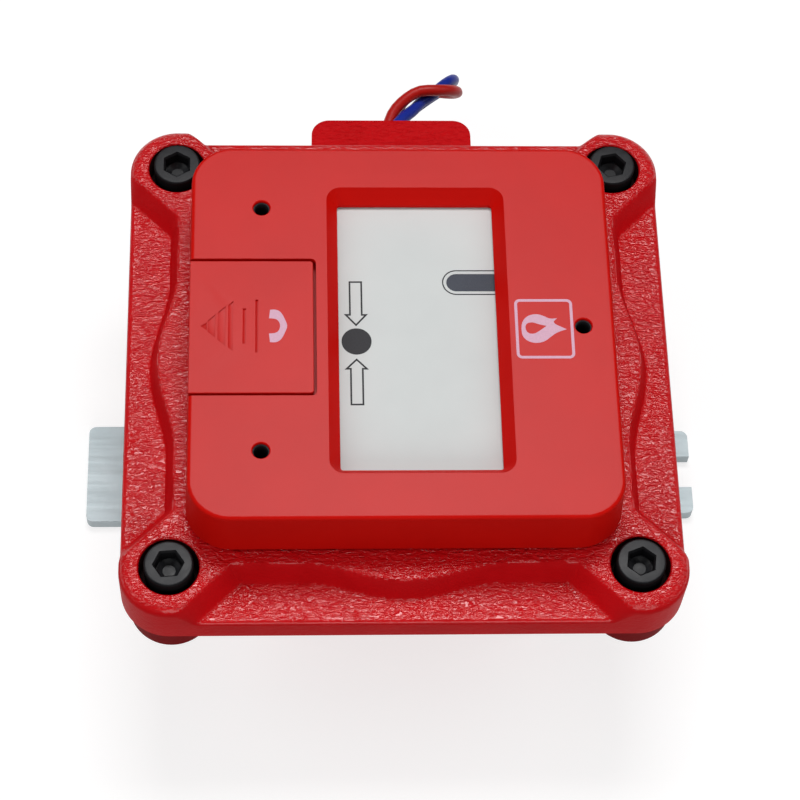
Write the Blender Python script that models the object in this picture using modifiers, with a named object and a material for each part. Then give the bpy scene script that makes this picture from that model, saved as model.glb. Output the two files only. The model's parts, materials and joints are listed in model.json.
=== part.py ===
"""Flameproof manual call point, built as its separate pieces.

Frame: metres. The back plane is Z = 0 and the front faces +Z. The device's upper edge, as it hangs on a
wall, is at +X, and the cable boss is at +Y. The origin is on the back, midway between the lid screws.
"""
import math

import bmesh
import bpy
from mathutils import Vector

# Clearances, and how finely round shapes are divided
GAP = 0.0003
RUNNING_GAP = 0.0002
ROUND_STEPS = 20
MIDDLE_STEPS = 16
SMALL_STEPS = 12
CORNER_STEPS = 6
EDGE_STEPS = 3
SMOOTH_ANGLE = 35.0
MERGE_DISTANCE = 0.00001
DOUBLE_DISTANCE = 0.000001
JOIN_DEPTH = 0.0006
CUT_MARGIN = 0.002

# Front cover
COVER_WIDTH = 0.0874
COVER_HEIGHT = 0.0135
COVER_DRAFT = 0.0006
COVER_WALL = 0.0032
COVER_FACE = 0.0043
COVER_CORNER_RADIUS = 0.0087
COVER_EDGE_RADIUS = 0.0009
KEY_HOLE_DIAMETER = 0.0035
KEY_TUBE_WALL = 0.0017
KEY_TUBE_LENGTH = 0.0065
KEY_HOLES = ((-0.029, 0.0285), (-0.029, -0.0285), (0.0372, 0.0))

# Window
WINDOW_CENTRE_X = 0.0033
WINDOW_LENGTH_X = 0.0328
WINDOW_LENGTH_Y = 0.0627
WINDOW_CORNER_RADIUS = 0.0006
WINDOW_BEVEL = 0.0023
WINDOW_BEVEL_DEPTH = 0.0034

# Socket door
DOOR_LENGTH = 0.0254
DOOR_WIDTH = 0.031
DOOR_THICKNESS = 0.0025
DOOR_SIDE_GAP = 0.0006
DOOR_TONGUE_WIDTH = 0.001
DOOR_TONGUE_THICKNESS = 0.0009
DOOR_LIP_THICKNESS = 0.0014
DOOR_LIP_HEIGHT = 0.0055
RELIEF_DEPTH = 0.0004
RELIEF_SETBACK = 0.01235
RELIEF_SLOPE = 0.9
RELIEF_TIP_SHARE = 0.05
RELIEF_ARROW = ((0.0046, 0.00105, 0.0119), (0.00645, 0.0016, 0.0094), (0.0085, 0.00155, 0.0055),
                (0.0101, 0.00125, 0.0019))
RELIEF_LINES = ((-0.00075, 0.0006, 0.0124), (0.0018, 0.0007, 0.0083))

# Telephone socket
JACK_X = -0.0265
JACK_BODY_WIDTH = 0.013
JACK_WALL_GAP = 0.0023
JACK_BUSH_DIAMETER = 0.009
JACK_BUSH_LENGTH = 0.005
JACK_BORE_DIAMETER = 0.0064
JACK_BORE_DEPTH = 0.022
JACK_NUT_FLATS = 0.012
JACK_NUT_THICKNESS = 0.002
JACK_SEAT = 0.002
JACK_WELL_DEPTH = 0.0035
JACK_WELL_MARGIN = 0.0006
JACK_BOSS_WALL = 0.0025

# Press plate and its hinge
PLATE_THICKNESS = 0.002
PLATE_OVERLAP = 0.0015
HINGE_INSET = 0.001
HINGE_DROP = 0.0022
HINGE_PIN_DIAMETER = 0.002
KNUCKLE_DIAMETER = 0.0042
KNUCKLE_LENGTH = 0.008
KNUCKLE_CENTRE_Y = 0.018
KNUCKLE_WEB_BACK = 0.0017
KNUCKLE_WEB_FRONT = 0.0008
POST_LENGTH = 0.0035
PRESS_X = -0.0094
SLOT_TIP_X = 0.0093
SLOT_WIDTH = 0.0048
SLOT_Y = 0.0130
SLOT_DEPTH = 0.0008
SLOT_GLASS = 0.0004
LIGHT_GUIDE_GAP = 0.0008

# Push rod, clip and spring
ROD_DIAMETER = 0.0034
ROD_HEAD_DIAMETER = 0.0072
ROD_HEAD_THICKNESS = 0.0015
CLIP_THICKNESS = 0.0008
CLIP_DIAMETER = 0.0068
CLIP_GROOVE_DEPTH = 0.0005
CLIP_MOUTH_ANGLE = 35
ROD_TAIL = 0.0012
SPRING_WIRE = 0.0006
SPRING_DIAMETER = 0.0054
SPRING_TURNS = 3
SPRING_TURN_STEPS = 10

# Carrier plate, circuit board and what stands on it
CARRIER_THICKNESS = 0.0025
CARRIER_SCREW_PITCH = 0.066
CATCH_WIDTH = 0.003
PILLAR_LENGTH = 0.0195
PILLAR_DIAMETER = 0.006
PILLAR_INSET = 0.005
BOARD_WALL_GAP_X = 0.0023
BOARD_WALL_GAP_Y = 0.0073
BOARD_THICKNESS = 0.0016
SWITCH_LENGTH = 0.0278
SWITCH_WIDTH = 0.0103
PLUNGER_DIAMETER = 0.0032
PLUNGER_PROUD = 0.0026
PLUNGER_SUNK = 0.0022
PRESS_TRAVEL = 0.0021
LED_DIAMETER = 0.005
LED_HEIGHT = 0.0062
LED_DOME = 0.0013
LED_RIM = 0.0003
LED_RIM_THICKNESS = 0.0009
LED_X = 0.0140
SMALL_SCREW_DIAMETER = 0.003
SMALL_HEAD_DIAMETER = 0.0055
SMALL_HEAD_THICKNESS = 0.002
SMALL_HEAD_FLAT = 0.0019
SMALL_HEAD_EDGE = 0.0011
SMALL_SCREW_LENGTH = 0.008
SMALL_SOCKET = 0.002
SMALL_SOCKET_DEPTH = 0.0011

# Lid
SCREW_SETBACK = 0.0038
LOBE_RADIUS = 0.0102
LOBE_NECK = 0.0083
LOBE_NECK_RUN = 0.0028
LID_EDGE_THICKNESS = 0.006
LID_EDGE_RADIUS = 0.001
RIDGE_HEIGHT = 0.0057
RIDGE_MARGIN = 0.0032
RIDGE_WAVE = 0.0038
RIDGE_RUN = 0.0019
RIDGE_SLOPE = ((-0.4, 0.0), (0.0, 0.0), (0.65, 0.0002), (0.9, 0.001), (1.0, 0.002))
LOBE_FOOT_INSET = 0.00015
WAVE_HALF_LENGTH = 0.0215
WAVE_STEPS = 16
CARRIER_SEAT_DEPTH = 0.0025
LID_OPENING_MARGIN = 0.0015
LID_OPENING_CHAMFER = 0.016

# Lid screws
SCREW_DIAMETER = 0.006
SCREW_HEAD_DIAMETER = 0.010
SCREW_HEAD_HEIGHT = 0.006
SCREW_HEAD_PROUD = 0.0015
SCREW_LENGTH = 0.014
SCREW_SOCKET = 0.005
SCREW_SOCKET_DEPTH = 0.003
SCREW_HEAD_CHAMFER = 0.00055
SCREW_TIP_CHAMFER = 0.0008
WASHER_SPLIT_ANGLE = 14
WASHER_THICKNESS = 0.0014
COUNTERBORE_DIAMETER = 0.0122

# Rear housing
HOUSING_WIDTH = 0.077
HOUSING_DEPTH = 0.045
HOUSING_WALL = 0.0032
HOUSING_FLOOR = 0.007
HOUSING_CORNER_RADIUS = 0.010
FLANGE_REACH = 0.0045
FLANGE_THICKNESS = 0.0087
LUG_RADIUS = 0.0088
GASKET_WIDTH = 0.0024
GASKET_DEPTH = 0.002

# Cable boss
BOSS_WIDTH = 0.036
BOSS_HEIGHT = 0.032
BOSS_DROP = 0.001
BOSS_FACE_Y = 0.069
BOSS_CORNER_RADIUS = 0.004
ENTRY_BORE_DIAMETER = 0.024
ENTRY_RING_LENGTH = 0.008
ENTRY_RING_BORE = 0.013
ENTRY_RING_SET = 0.0007
ENTRY_SEAL_LENGTH = 0.010

# Wall strap
STRAP_LENGTH = 0.138
STRAP_WIDTH = 0.024
STRAP_THICKNESS = 0.003
STRAP_CORNER_RADIUS = 0.0016
FORK_WIDTH = 0.021
FORK_LENGTH = 0.018
FORK_SLOT_WIDTH = 0.0078
FORK_SLOT_LENGTH = 0.013
STRAP_SCREW_PITCH = 0.044
STRAP_SCREW_DIAMETER = 0.005
STRAP_SCREW_HEAD = 0.0092
STRAP_SCREW_LENGTH = 0.0095
STRAP_SCREW_SOCKET = 0.003
STRAP_BOSS_DIAMETER = 0.012
STRAP_BOSS_HEIGHT = 0.0055

# Terminals
TERMINAL_PITCH = 0.0075
TERMINAL_COUNT = 4
TERMINAL_BLOCK_DEPTH = 0.016
TERMINAL_BLOCK_HEIGHT = 0.013
TERMINAL_BLOCK_Y = -0.018
TERMINAL_END = 0.006
TERMINAL_EAR_HEIGHT = 0.005
TERMINAL_SCREW_LENGTH = 0.005
EARTH_WALL_GAP = 0.0113
EARTH_SCREW_LENGTH = 0.006
EARTH_PAD_DIAMETER = 0.009
EARTH_PAD_HEIGHT = 0.003

# Leads. The routes are chosen by hand, in metres, along the middle of the twisted pair.
LEAD_DIAMETER = 0.0027
LEAD_TIP_DIAMETER = 0.0014
LEAD_TIP_LENGTH = 0.007
PAIR_OFFSET = 0.00158
TWIST_PITCH = 0.033
TWIST_RUN_IN = 0.006
LEAD_POINT_SPACING = 0.0055
ROUTE_FINENESS = 12
LEAD_ROUTE = (
    (0.0000, 0.0603, 0.0280),
    (0.0000, 0.0660, 0.0280),
    (0.0000, 0.0720, 0.0282),
    (0.0008, 0.0768, 0.0285),
    (0.0025, 0.0807, 0.0287),
    (0.0051, 0.0837, 0.0288),
    (0.0080, 0.0862, 0.0289),
    (0.0113, 0.0873, 0.0290),
    (0.0141, 0.0890, 0.0280),
    (0.0159, 0.0910, 0.0260),
    (0.0164, 0.0930, 0.0234),
    (0.0156, 0.0946, 0.0206),
    (0.0135, 0.0955, 0.0181),
    (0.0105, 0.0956, 0.0163),
    (0.0075, 0.0950, 0.0146),
    (0.0052, 0.0942, 0.0124),
    (0.0032, 0.0932, 0.0099),
    (-0.0004, 0.0910, 0.0068),
    (-0.0044, 0.0889, 0.0049),
    (-0.0093, 0.0866, 0.0037),
    (-0.0149, 0.0838, 0.0032),
    (-0.0209, 0.0804, 0.0031),
    (-0.0269, 0.0764, 0.0031),
    (-0.0327, 0.0723, 0.0031),
    (-0.0385, 0.0681, 0.0031),
    (-0.0441, 0.0636, 0.0031),
)
INNER_RED_ROUTE = (
    (-0.0022, 0.0497, 0.0280),
    (-0.0022, 0.0430, 0.0280),
    (-0.0023, 0.0360, 0.0278),
    (-0.0026, 0.0290, 0.0268),
    (-0.0030, 0.0220, 0.0246),
    (-0.0034, 0.0150, 0.0214),
    (-0.0037, 0.0085, 0.0179),
    (-0.00375, 0.0025, 0.0153),
    (-0.00375, -0.0035, 0.0140),
    (-0.00375, -0.0097, 0.0137),
)

# Places worked out from the sizes above
COVER_HALF = COVER_WIDTH / 2
SCREW_HALF = COVER_HALF + SCREW_SETBACK
LID_HALF = SCREW_HALF + LOBE_RADIUS
HOUSING_HALF = HOUSING_WIDTH / 2
CAVITY_HALF = HOUSING_HALF - HOUSING_WALL
CAVITY_RADIUS = HOUSING_CORNER_RADIUS - HOUSING_WALL
FLANGE_HALF = SCREW_HALF + FLANGE_REACH
LID_OPENING_HALF = CAVITY_HALF + LID_OPENING_MARGIN
GASKET_HALF = (LID_OPENING_HALF + FLANGE_HALF) / 2
BOARD_HALF_X = CAVITY_HALF - BOARD_WALL_GAP_X
BOARD_HALF_Y = CAVITY_HALF - BOARD_WALL_GAP_Y
JACK_BODY_X = JACK_WALL_GAP + JACK_BODY_WIDTH / 2 - CAVITY_HALF
EARTH_SCREW_AT = (CAVITY_HALF - EARTH_WALL_GAP, CAVITY_HALF - EARTH_WALL_GAP)

PARTING = HOUSING_DEPTH
LID_BOTTOM = PARTING + GAP
LEDGE_TOP = LID_BOTTOM + LID_EDGE_THICKNESS
LID_TOP = LEDGE_TOP + RIDGE_HEIGHT
HEAD_TOP = LID_TOP + SCREW_HEAD_PROUD
HEAD_BOTTOM = HEAD_TOP - SCREW_HEAD_HEIGHT
WASHER_BOTTOM = HEAD_BOTTOM - GAP - WASHER_THICKNESS
COUNTERBORE_FLOOR = WASHER_BOTTOM - GAP

COVER_BOTTOM = LID_TOP + GAP
COVER_TOP = COVER_BOTTOM + COVER_HEIGHT
FACE_UNDER = COVER_TOP - COVER_FACE
KEY_TUBE_BOTTOM = FACE_UNDER - KEY_TUBE_LENGTH
PLATE_TOP = FACE_UNDER - GAP
PLATE_UNDER = PLATE_TOP - PLATE_THICKNESS
PLATE_LOW_X = WINDOW_CENTRE_X - WINDOW_LENGTH_X / 2 - PLATE_OVERLAP
PLATE_HIGH_X = WINDOW_CENTRE_X + WINDOW_LENGTH_X / 2 + PLATE_OVERLAP
PLATE_HALF_Y = WINDOW_LENGTH_Y / 2 + PLATE_OVERLAP
HINGE_X = PLATE_HIGH_X - HINGE_INSET
HINGE_Z = PLATE_UNDER - HINGE_DROP

CARRIER_SEAT = LID_TOP - CARRIER_SEAT_DEPTH
CARRIER_BOTTOM = CARRIER_SEAT + GAP
CARRIER_TOP = CARRIER_BOTTOM + CARRIER_THICKNESS
CARRIER_HALF = COVER_HALF - COVER_WALL - GAP
CARRIER_CORNER = COVER_CORNER_RADIUS - COVER_WALL - GAP
BOARD_TOP = CARRIER_BOTTOM - PILLAR_LENGTH - GAP
BOARD_UNDER = BOARD_TOP - BOARD_THICKNESS
ROD_HEAD_TOP = PLATE_UNDER - GAP
ROD_HEAD_UNDER = ROD_HEAD_TOP - ROD_HEAD_THICKNESS
CLIP_TOP = CARRIER_BOTTOM - GAP
CLIP_BOTTOM = CLIP_TOP - CLIP_THICKNESS
ROD_BOTTOM = CLIP_BOTTOM - ROD_TAIL
PLUNGER_TOP = ROD_BOTTOM - GAP
SWITCH_TOP = PLUNGER_TOP - PLUNGER_PROUD
SWITCH_BOTTOM = BOARD_TOP + GAP

DOOR_LOW_X = -COVER_HALF
DOOR_HIGH_X = DOOR_LOW_X + DOOR_LENGTH
DOOR_UNDER = COVER_TOP - DOOR_THICKNESS
RECESS_FLOOR = DOOR_UNDER - GAP
RECESS_HALF_Y = DOOR_WIDTH / 2 + DOOR_SIDE_GAP
WELL_FLOOR = RECESS_FLOOR - JACK_WELL_DEPTH
JACK_SHOULDER = WELL_FLOOR - JACK_SEAT - GAP
JACK_MOUTH = JACK_SHOULDER + JACK_BUSH_LENGTH
JACK_NUT_CORNER = JACK_NUT_FLATS / math.sqrt(3)
JACK_WELL_RADIUS = JACK_NUT_CORNER + JACK_WELL_MARGIN
JACK_BOSS_RADIUS = JACK_WELL_RADIUS + JACK_BOSS_WALL

BOSS_TOP = PARTING - BOSS_DROP
ENTRY_Z = BOSS_TOP - BOSS_HEIGHT / 2
ENTRY_RING_FACE = BOSS_FACE_Y - ENTRY_RING_SET
SEAL_FACE = ENTRY_RING_FACE - ENTRY_RING_LENGTH - GAP
STRAP_CHANNEL = STRAP_THICKNESS + GAP
TERMINAL_BOTTOM = HOUSING_FLOOR + GAP
TERMINAL_TOP = TERMINAL_BOTTOM + TERMINAL_BLOCK_HEIGHT
TERMINAL_LENGTH = TERMINAL_COUNT * TERMINAL_PITCH + 2 * TERMINAL_END

CORNERS = ((-1, -1), (1, -1), (1, 1), (-1, 1))


def clear_scene():
    for item in list(bpy.data.objects):
        bpy.data.objects.remove(item, do_unlink=True)


def new_collection(name):
    group = bpy.data.collections.new(name)
    bpy.context.scene.collection.children.link(group)
    return group


def new_material(name, colour, roughness, metallic=0.0, alpha=1.0):
    material = bpy.data.materials.new(name)
    material.use_nodes = True
    shader = material.node_tree.nodes["Principled BSDF"]
    shader.inputs["Base Color"].default_value = (*colour, 1.0)
    shader.inputs["Roughness"].default_value = roughness
    shader.inputs["Metallic"].default_value = metallic
    shader.inputs["Alpha"].default_value = alpha
    return material


clear_scene()
PARTS = new_collection("manual_call_point")
CUTTERS = new_collection("cutters")

CAST_RED = new_material("cast_red", (0.50, 0.012, 0.022), 0.38)
PLASTIC_RED = new_material("plastic_red", (0.62, 0.022, 0.016), 0.42)
BLACK_STEEL = new_material("black_steel", (0.028, 0.029, 0.031), 0.40, 0.85)
ZINC = new_material("zinc", (0.62, 0.66, 0.68), 0.32, 1.0)
PLATE_WHITE = new_material("plate_white", (0.66, 0.68, 0.68), 0.45)
SMOKED = new_material("smoked", (0.07, 0.08, 0.095), 0.25)
RUBBER = new_material("rubber", (0.02, 0.02, 0.02), 0.75)
BRASS = new_material("brass", (0.70, 0.50, 0.18), 0.30, 1.0)
STEEL = new_material("steel", (0.55, 0.55, 0.56), 0.30, 1.0)
BOARD_GREEN = new_material("board_green", (0.02, 0.16, 0.06), 0.45)
DARK_PLASTIC = new_material("dark_plastic", (0.03, 0.03, 0.035), 0.50)
CREAM_PLASTIC = new_material("cream_plastic", (0.70, 0.66, 0.55), 0.50)
CLEAR_PLASTIC = new_material("clear_plastic", (0.85, 0.88, 0.90), 0.08)
LED_RED = new_material("led_red", (0.70, 0.03, 0.02), 0.15)
LEAD_RED = new_material("lead_red", (0.38, 0.006, 0.006), 0.38)
LEAD_BLUE = new_material("lead_blue", (0.006, 0.022, 0.30), 0.38)
COPPER = new_material("copper", (0.75, 0.34, 0.18), 0.30, 1.0)

ROOT = bpy.data.objects.new("call_point_frame", None)
PARTS.objects.link(ROOT)


def add_object(name, mesh, material=None, at=(0.0, 0.0, 0.0)):
    """A part when it has a material, otherwise a cutter or a piece to be joined."""
    item = bpy.data.objects.new(name, mesh)
    item.location = at
    if material is None:
        CUTTERS.objects.link(item)
        item.hide_render = True
        item.display_type = 'WIRE'
        return item
    PARTS.objects.link(item)
    item.parent = ROOT
    mesh.materials.append(material)
    return item


def mesh_from(edit, name):
    mesh = bpy.data.meshes.new(name)
    edit.to_mesh(mesh)
    edit.free()
    return mesh


def smooth(item, degrees=SMOOTH_ANGLE):
    item.data.shade_smooth()
    item.data.set_sharp_from_angle(angle=math.radians(degrees))
    return item


def box(name, low, high, material=None):
    middle = [(a + b) / 2 for a, b in zip(low, high)]
    size = [b - a for a, b in zip(low, high)]
    edit = bmesh.new()
    bmesh.ops.create_cube(edit, size=1.0)
    bmesh.ops.scale(edit, vec=size, verts=edit.verts)
    return add_object(name, mesh_from(edit, name), material, middle)


def cylinder(name, radius, low_z, high_z, at=(0.0, 0.0), material=None, steps=ROUND_STEPS, top_radius=None):
    edit = bmesh.new()
    end_radius = radius if top_radius is None else top_radius
    bmesh.ops.create_cone(edit, cap_ends=True, segments=steps, radius1=radius, radius2=end_radius,
                          depth=high_z - low_z)
    item = add_object(name, mesh_from(edit, name), material, (at[0], at[1], (low_z + high_z) / 2))
    return smooth(item)


def along_y(item, at):
    """Lay a piece that was made along Z along +Y, with its middle at a point."""
    item.rotation_euler = (-math.pi / 2, 0.0, 0.0)
    item.location = at
    return item


def turned(name, profile, at, material=None, steps=ROUND_STEPS):
    """A turned piece: (radius, z) points from the top of its axis, down its outer side, to the bottom."""
    edit = bmesh.new()
    points = [edit.verts.new((radius, 0.0, z)) for radius, z in profile]
    for first, second in zip(points, points[1:]):
        edit.edges.new((first, second))
    item = add_object(name, mesh_from(edit, name), material, at)
    spin = item.modifiers.new("turn", 'SCREW')
    spin.steps = steps
    spin.render_steps = steps
    spin.use_merge_vertices = True
    spin.merge_threshold = MERGE_DISTANCE
    return item


def arc(centre, radius, start, end, steps):
    """Points along an arc, angles in degrees."""
    turn = math.radians(end - start)
    first = math.radians(start)
    return [(centre[0] + radius * math.cos(first + turn * k / steps),
             centre[1] + radius * math.sin(first + turn * k / steps)) for k in range(steps + 1)]


def rounded_rectangle(half_x, half_y, radius, centre=(0.0, 0.0), steps=CORNER_STEPS):
    points = []
    for (sign_x, sign_y), start in zip(((1, 1), (-1, 1), (-1, -1), (1, -1)), (0, 90, 180, 270)):
        middle = (centre[0] + sign_x * (half_x - radius), centre[1] + sign_y * (half_y - radius))
        points += arc(middle, radius, start, start + 90, steps)
    return points


def plate(name, outlines, low_z, high_z, material=None):
    """A flat plate from a closed outline and any holes in it."""
    curve = bpy.data.curves.new(name, 'CURVE')
    curve.dimensions = '2D'
    curve.fill_mode = 'BOTH'
    curve.extrude = (high_z - low_z) / 2
    for outline in outlines:
        spline = curve.splines.new('POLY')
        spline.points.add(len(outline) - 1)
        spline.use_cyclic_u = True
        for point, (x, y) in zip(spline.points, outline):
            point.co = (x, y, 0.0, 1.0)
    return mesh_piece(name, curve, material, (0.0, 0.0, (low_z + high_z) / 2))


def mesh_piece(name, curve, material, at=(0.0, 0.0, 0.0)):
    """Turn a curve into a closed mesh piece."""
    guide = bpy.data.objects.new(name + "_curve", curve)
    CUTTERS.objects.link(guide)
    depsgraph = bpy.context.evaluated_depsgraph_get()
    mesh = bpy.data.meshes.new_from_object(guide.evaluated_get(depsgraph))
    bpy.data.objects.remove(guide, do_unlink=True)
    edit = bmesh.new()
    edit.from_mesh(mesh)
    bmesh.ops.remove_doubles(edit, verts=edit.verts, dist=DOUBLE_DISTANCE)
    bmesh.ops.recalc_face_normals(edit, faces=edit.faces)
    edit.to_mesh(mesh)
    edit.free()
    mesh.name = name
    mesh.materials.clear()
    return smooth(add_object(name, mesh, material, at))


def loft(name, levels, material=None):
    """A closed solid through outlines with as many points each: (outline, z) from the bottom up."""
    edit = bmesh.new()
    rings = [[edit.verts.new((x, y, z)) for x, y in outline] for outline, z in levels]
    count = len(rings[0])
    for lower, upper in zip(rings, rings[1:]):
        for k in range(count):
            following = (k + 1) % count
            edit.faces.new((lower[k], lower[following], upper[following], upper[k]))
    edit.faces.new(list(reversed(rings[0])))
    edit.faces.new(rings[-1])
    return smooth(add_object(name, mesh_from(edit, name), material))


def combine(item, tool, operation):
    step = item.modifiers.new(tool.name, 'BOOLEAN')
    step.operation = operation
    step.object = tool
    step.solver = 'EXACT'


def cut(item, *tools):
    for tool in tools:
        combine(item, tool, 'DIFFERENCE')
    return item


def join(item, *tools):
    for tool in tools:
        combine(item, tool, 'UNION')
    return item


def set_origin(item, point):
    """Move a piece's origin without moving the piece."""
    shift = item.location - Vector(point)
    for vertex in item.data.vertices:
        vertex.co += shift
    item.location = point
    return item


def hexagon(name, flats, low_z, high_z, at=(0.0, 0.0), material=None):
    return cylinder(name, flats / math.sqrt(3), low_z, high_z, at, material, steps=6)


def tube(name, points, diameter, material, sides=2):
    """A round lead or wire along points."""
    curve = bpy.data.curves.new(name, 'CURVE')
    curve.dimensions = '3D'
    curve.bevel_depth = diameter / 2
    curve.bevel_resolution = sides
    curve.use_fill_caps = True
    spline = curve.splines.new('POLY')
    spline.points.add(len(points) - 1)
    for point, place in zip(spline.points, points):
        point.co = (*place, 1.0)
    return mesh_piece(name, curve, material)


def edge_levels(outline_at, half, low_z, high_z, radius, steps=EDGE_STEPS):
    """Levels of a solid whose upper edge is rounded; outline_at gives the outline for a half width."""
    levels = [(outline_at(half), low_z)]
    for k in range(steps + 1):
        turn = math.pi / 2 * k / steps
        inset = radius * (1 - math.cos(turn))
        levels.append((outline_at(half - inset), high_z - radius + radius * math.sin(turn)))
    return levels


def small_screw(name, at, seat_z, length=SMALL_SCREW_LENGTH, upward=True, material=STEEL):
    """A small pan-head screw: its head's bearing face is at seat_z."""
    top = SMALL_HEAD_THICKNESS
    profile = ((0.0, top), (SMALL_HEAD_FLAT, top), (SMALL_HEAD_DIAMETER / 2, SMALL_HEAD_EDGE),
               (SMALL_HEAD_DIAMETER / 2, 0.0), (SMALL_SCREW_DIAMETER / 2, 0.0),
               (SMALL_SCREW_DIAMETER / 2, -length), (0.0, -length))
    item = turned(name, profile, (at[0], at[1], seat_z), material, SMALL_STEPS)
    socket = hexagon(name + "_socket", SMALL_SOCKET, top - SMALL_SOCKET_DEPTH, top + CUT_MARGIN)
    socket.parent = item
    cut(item, socket)
    if not upward:
        item.rotation_euler = (math.pi, 0.0, 0.0)
    return item


def screw_hole(name, at, low_z, high_z, diameter=SMALL_SCREW_DIAMETER):
    return cylinder(name, diameter / 2 + GAP, low_z, high_z, at, steps=SMALL_STEPS)


def corner_places(half):
    return [(sign_x * half, sign_y * half) for sign_x, sign_y in CORNERS]


def ridge_outline(valley, edge, neck):
    """Outline of the lid's raised part: a wave on each side, and a lobe round each screw.

    valley is the distance from the middle to a side's hollows, edge the distance to the lobes' outer
    sides, and neck half the width of the arm that joins each lobe to the middle.
    """
    reach = neck * math.sqrt(2)
    lobe = edge - SCREW_HALF
    turn_in = valley - reach
    turn_out = edge - reach
    half_side = [(turn_out, edge), (turn_in, valley)]
    for k in range(WAVE_STEPS + 1):
        along = WAVE_HALF_LENGTH * (1 - 2 * k / WAVE_STEPS)
        swell = RIDGE_WAVE * (1 + math.cos(math.pi * along / WAVE_HALF_LENGTH)) / 2
        half_side.append((along, valley + swell))
    half_side += [(-turn_in, valley), (-turn_out, edge)]
    lobe_arc = arc((SCREW_HALF, SCREW_HALF), lobe, 0, 90, CORNER_STEPS)
    points = []
    for quarter in range(4):
        cosine, sine = ((1, 0), (0, 1), (-1, 0), (0, -1))[quarter]
        points += [(x * cosine - y * sine, x * sine + y * cosine) for x, y in lobe_arc + half_side]
    return points


def square_outline(radius_inset):
    """Gives the outline of a square for its half width, with corners round fixed centres."""
    return lambda half: rounded_rectangle(half, half, half - radius_inset)


def build_lid():
    lid = loft("front_lid", edge_levels(square_outline(SCREW_HALF), LID_HALF, LID_BOTTOM, LEDGE_TOP,
                                        LID_EDGE_RADIUS), CAST_RED)
    foot_edge = LID_HALF - LOBE_FOOT_INSET
    top_valley = COVER_HALF + RIDGE_MARGIN
    foot_valley = top_valley + RIDGE_RUN
    foot_neck = LOBE_NECK + LOBE_NECK_RUN
    levels = []
    for rise, inset in RIDGE_SLOPE:
        share = max(rise, 0.0)
        valley = foot_valley + (top_valley - foot_valley) * share
        neck = foot_neck + (LOBE_NECK - foot_neck) * share
        levels.append((ridge_outline(valley, foot_edge - inset, neck), LEDGE_TOP + RIDGE_HEIGHT * rise))
    join(lid, loft("lid_ridge", levels))
    inner = LID_OPENING_HALF - LID_OPENING_CHAMFER
    octagon = [(LID_OPENING_HALF, inner), (inner, LID_OPENING_HALF), (-inner, LID_OPENING_HALF),
               (-LID_OPENING_HALF, inner), (-LID_OPENING_HALF, -inner), (-inner, -LID_OPENING_HALF),
               (inner, -LID_OPENING_HALF), (LID_OPENING_HALF, -inner)]
    cut(lid, loft("lid_opening", [(octagon, LID_BOTTOM - CUT_MARGIN), (octagon, LID_TOP + CUT_MARGIN)]))
    for k, place in enumerate(corner_places(SCREW_HALF)):
        cut(lid, cylinder(f"counterbore_{k}", COUNTERBORE_DIAMETER / 2, COUNTERBORE_FLOOR,
                          LID_TOP + CUT_MARGIN, place))
        cut(lid, cylinder(f"lid_hole_{k}", SCREW_DIAMETER / 2 + GAP, LID_BOTTOM - CUT_MARGIN,
                          LID_TOP + CUT_MARGIN, place))
    seat_half = CARRIER_HALF + GAP
    seat = rounded_rectangle(seat_half, seat_half, CARRIER_CORNER + GAP)
    cut(lid, loft("carrier_seat", [(seat, CARRIER_SEAT), (seat, LID_TOP + CUT_MARGIN)]))
    for k, place in enumerate(corner_places(CARRIER_SCREW_PITCH / 2)):
        depth = SMALL_SCREW_LENGTH - CARRIER_THICKNESS
        cut(lid, screw_hole(f"lid_tapped_{k}", place, CARRIER_SEAT - depth - GAP, LID_TOP))


def build_lid_screws():
    head = SCREW_HEAD_DIAMETER / 2
    shank = SCREW_DIAMETER / 2
    chamfer = SCREW_HEAD_CHAMFER
    tip = SCREW_TIP_CHAMFER
    split = WASHER_SPLIT_ANGLE
    for k, place in enumerate(corner_places(SCREW_HALF), start=1):
        profile = ((0.0, HEAD_TOP), (head - chamfer, HEAD_TOP), (head, HEAD_TOP - chamfer),
                   (head, HEAD_BOTTOM), (shank, HEAD_BOTTOM), (shank, HEAD_BOTTOM - SCREW_LENGTH + tip),
                   (shank - tip, HEAD_BOTTOM - SCREW_LENGTH), (0.0, HEAD_BOTTOM - SCREW_LENGTH))
        screw = turned(f"lid_screw_{k}", profile, (*place, 0.0), BLACK_STEEL)
        cut(screw, hexagon(f"screw_socket_{k}", SCREW_SOCKET, HEAD_TOP - SCREW_SOCKET_DEPTH,
                           HEAD_TOP + CUT_MARGIN, place))
        outer = arc(place, head, split, 360 - split, ROUND_STEPS)
        inner = arc(place, shank + GAP, 360 - split, split, ROUND_STEPS)
        plate(f"lid_washer_{k}", [outer + inner], WASHER_BOTTOM, WASHER_BOTTOM + WASHER_THICKNESS,
              BLACK_STEEL)


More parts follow.
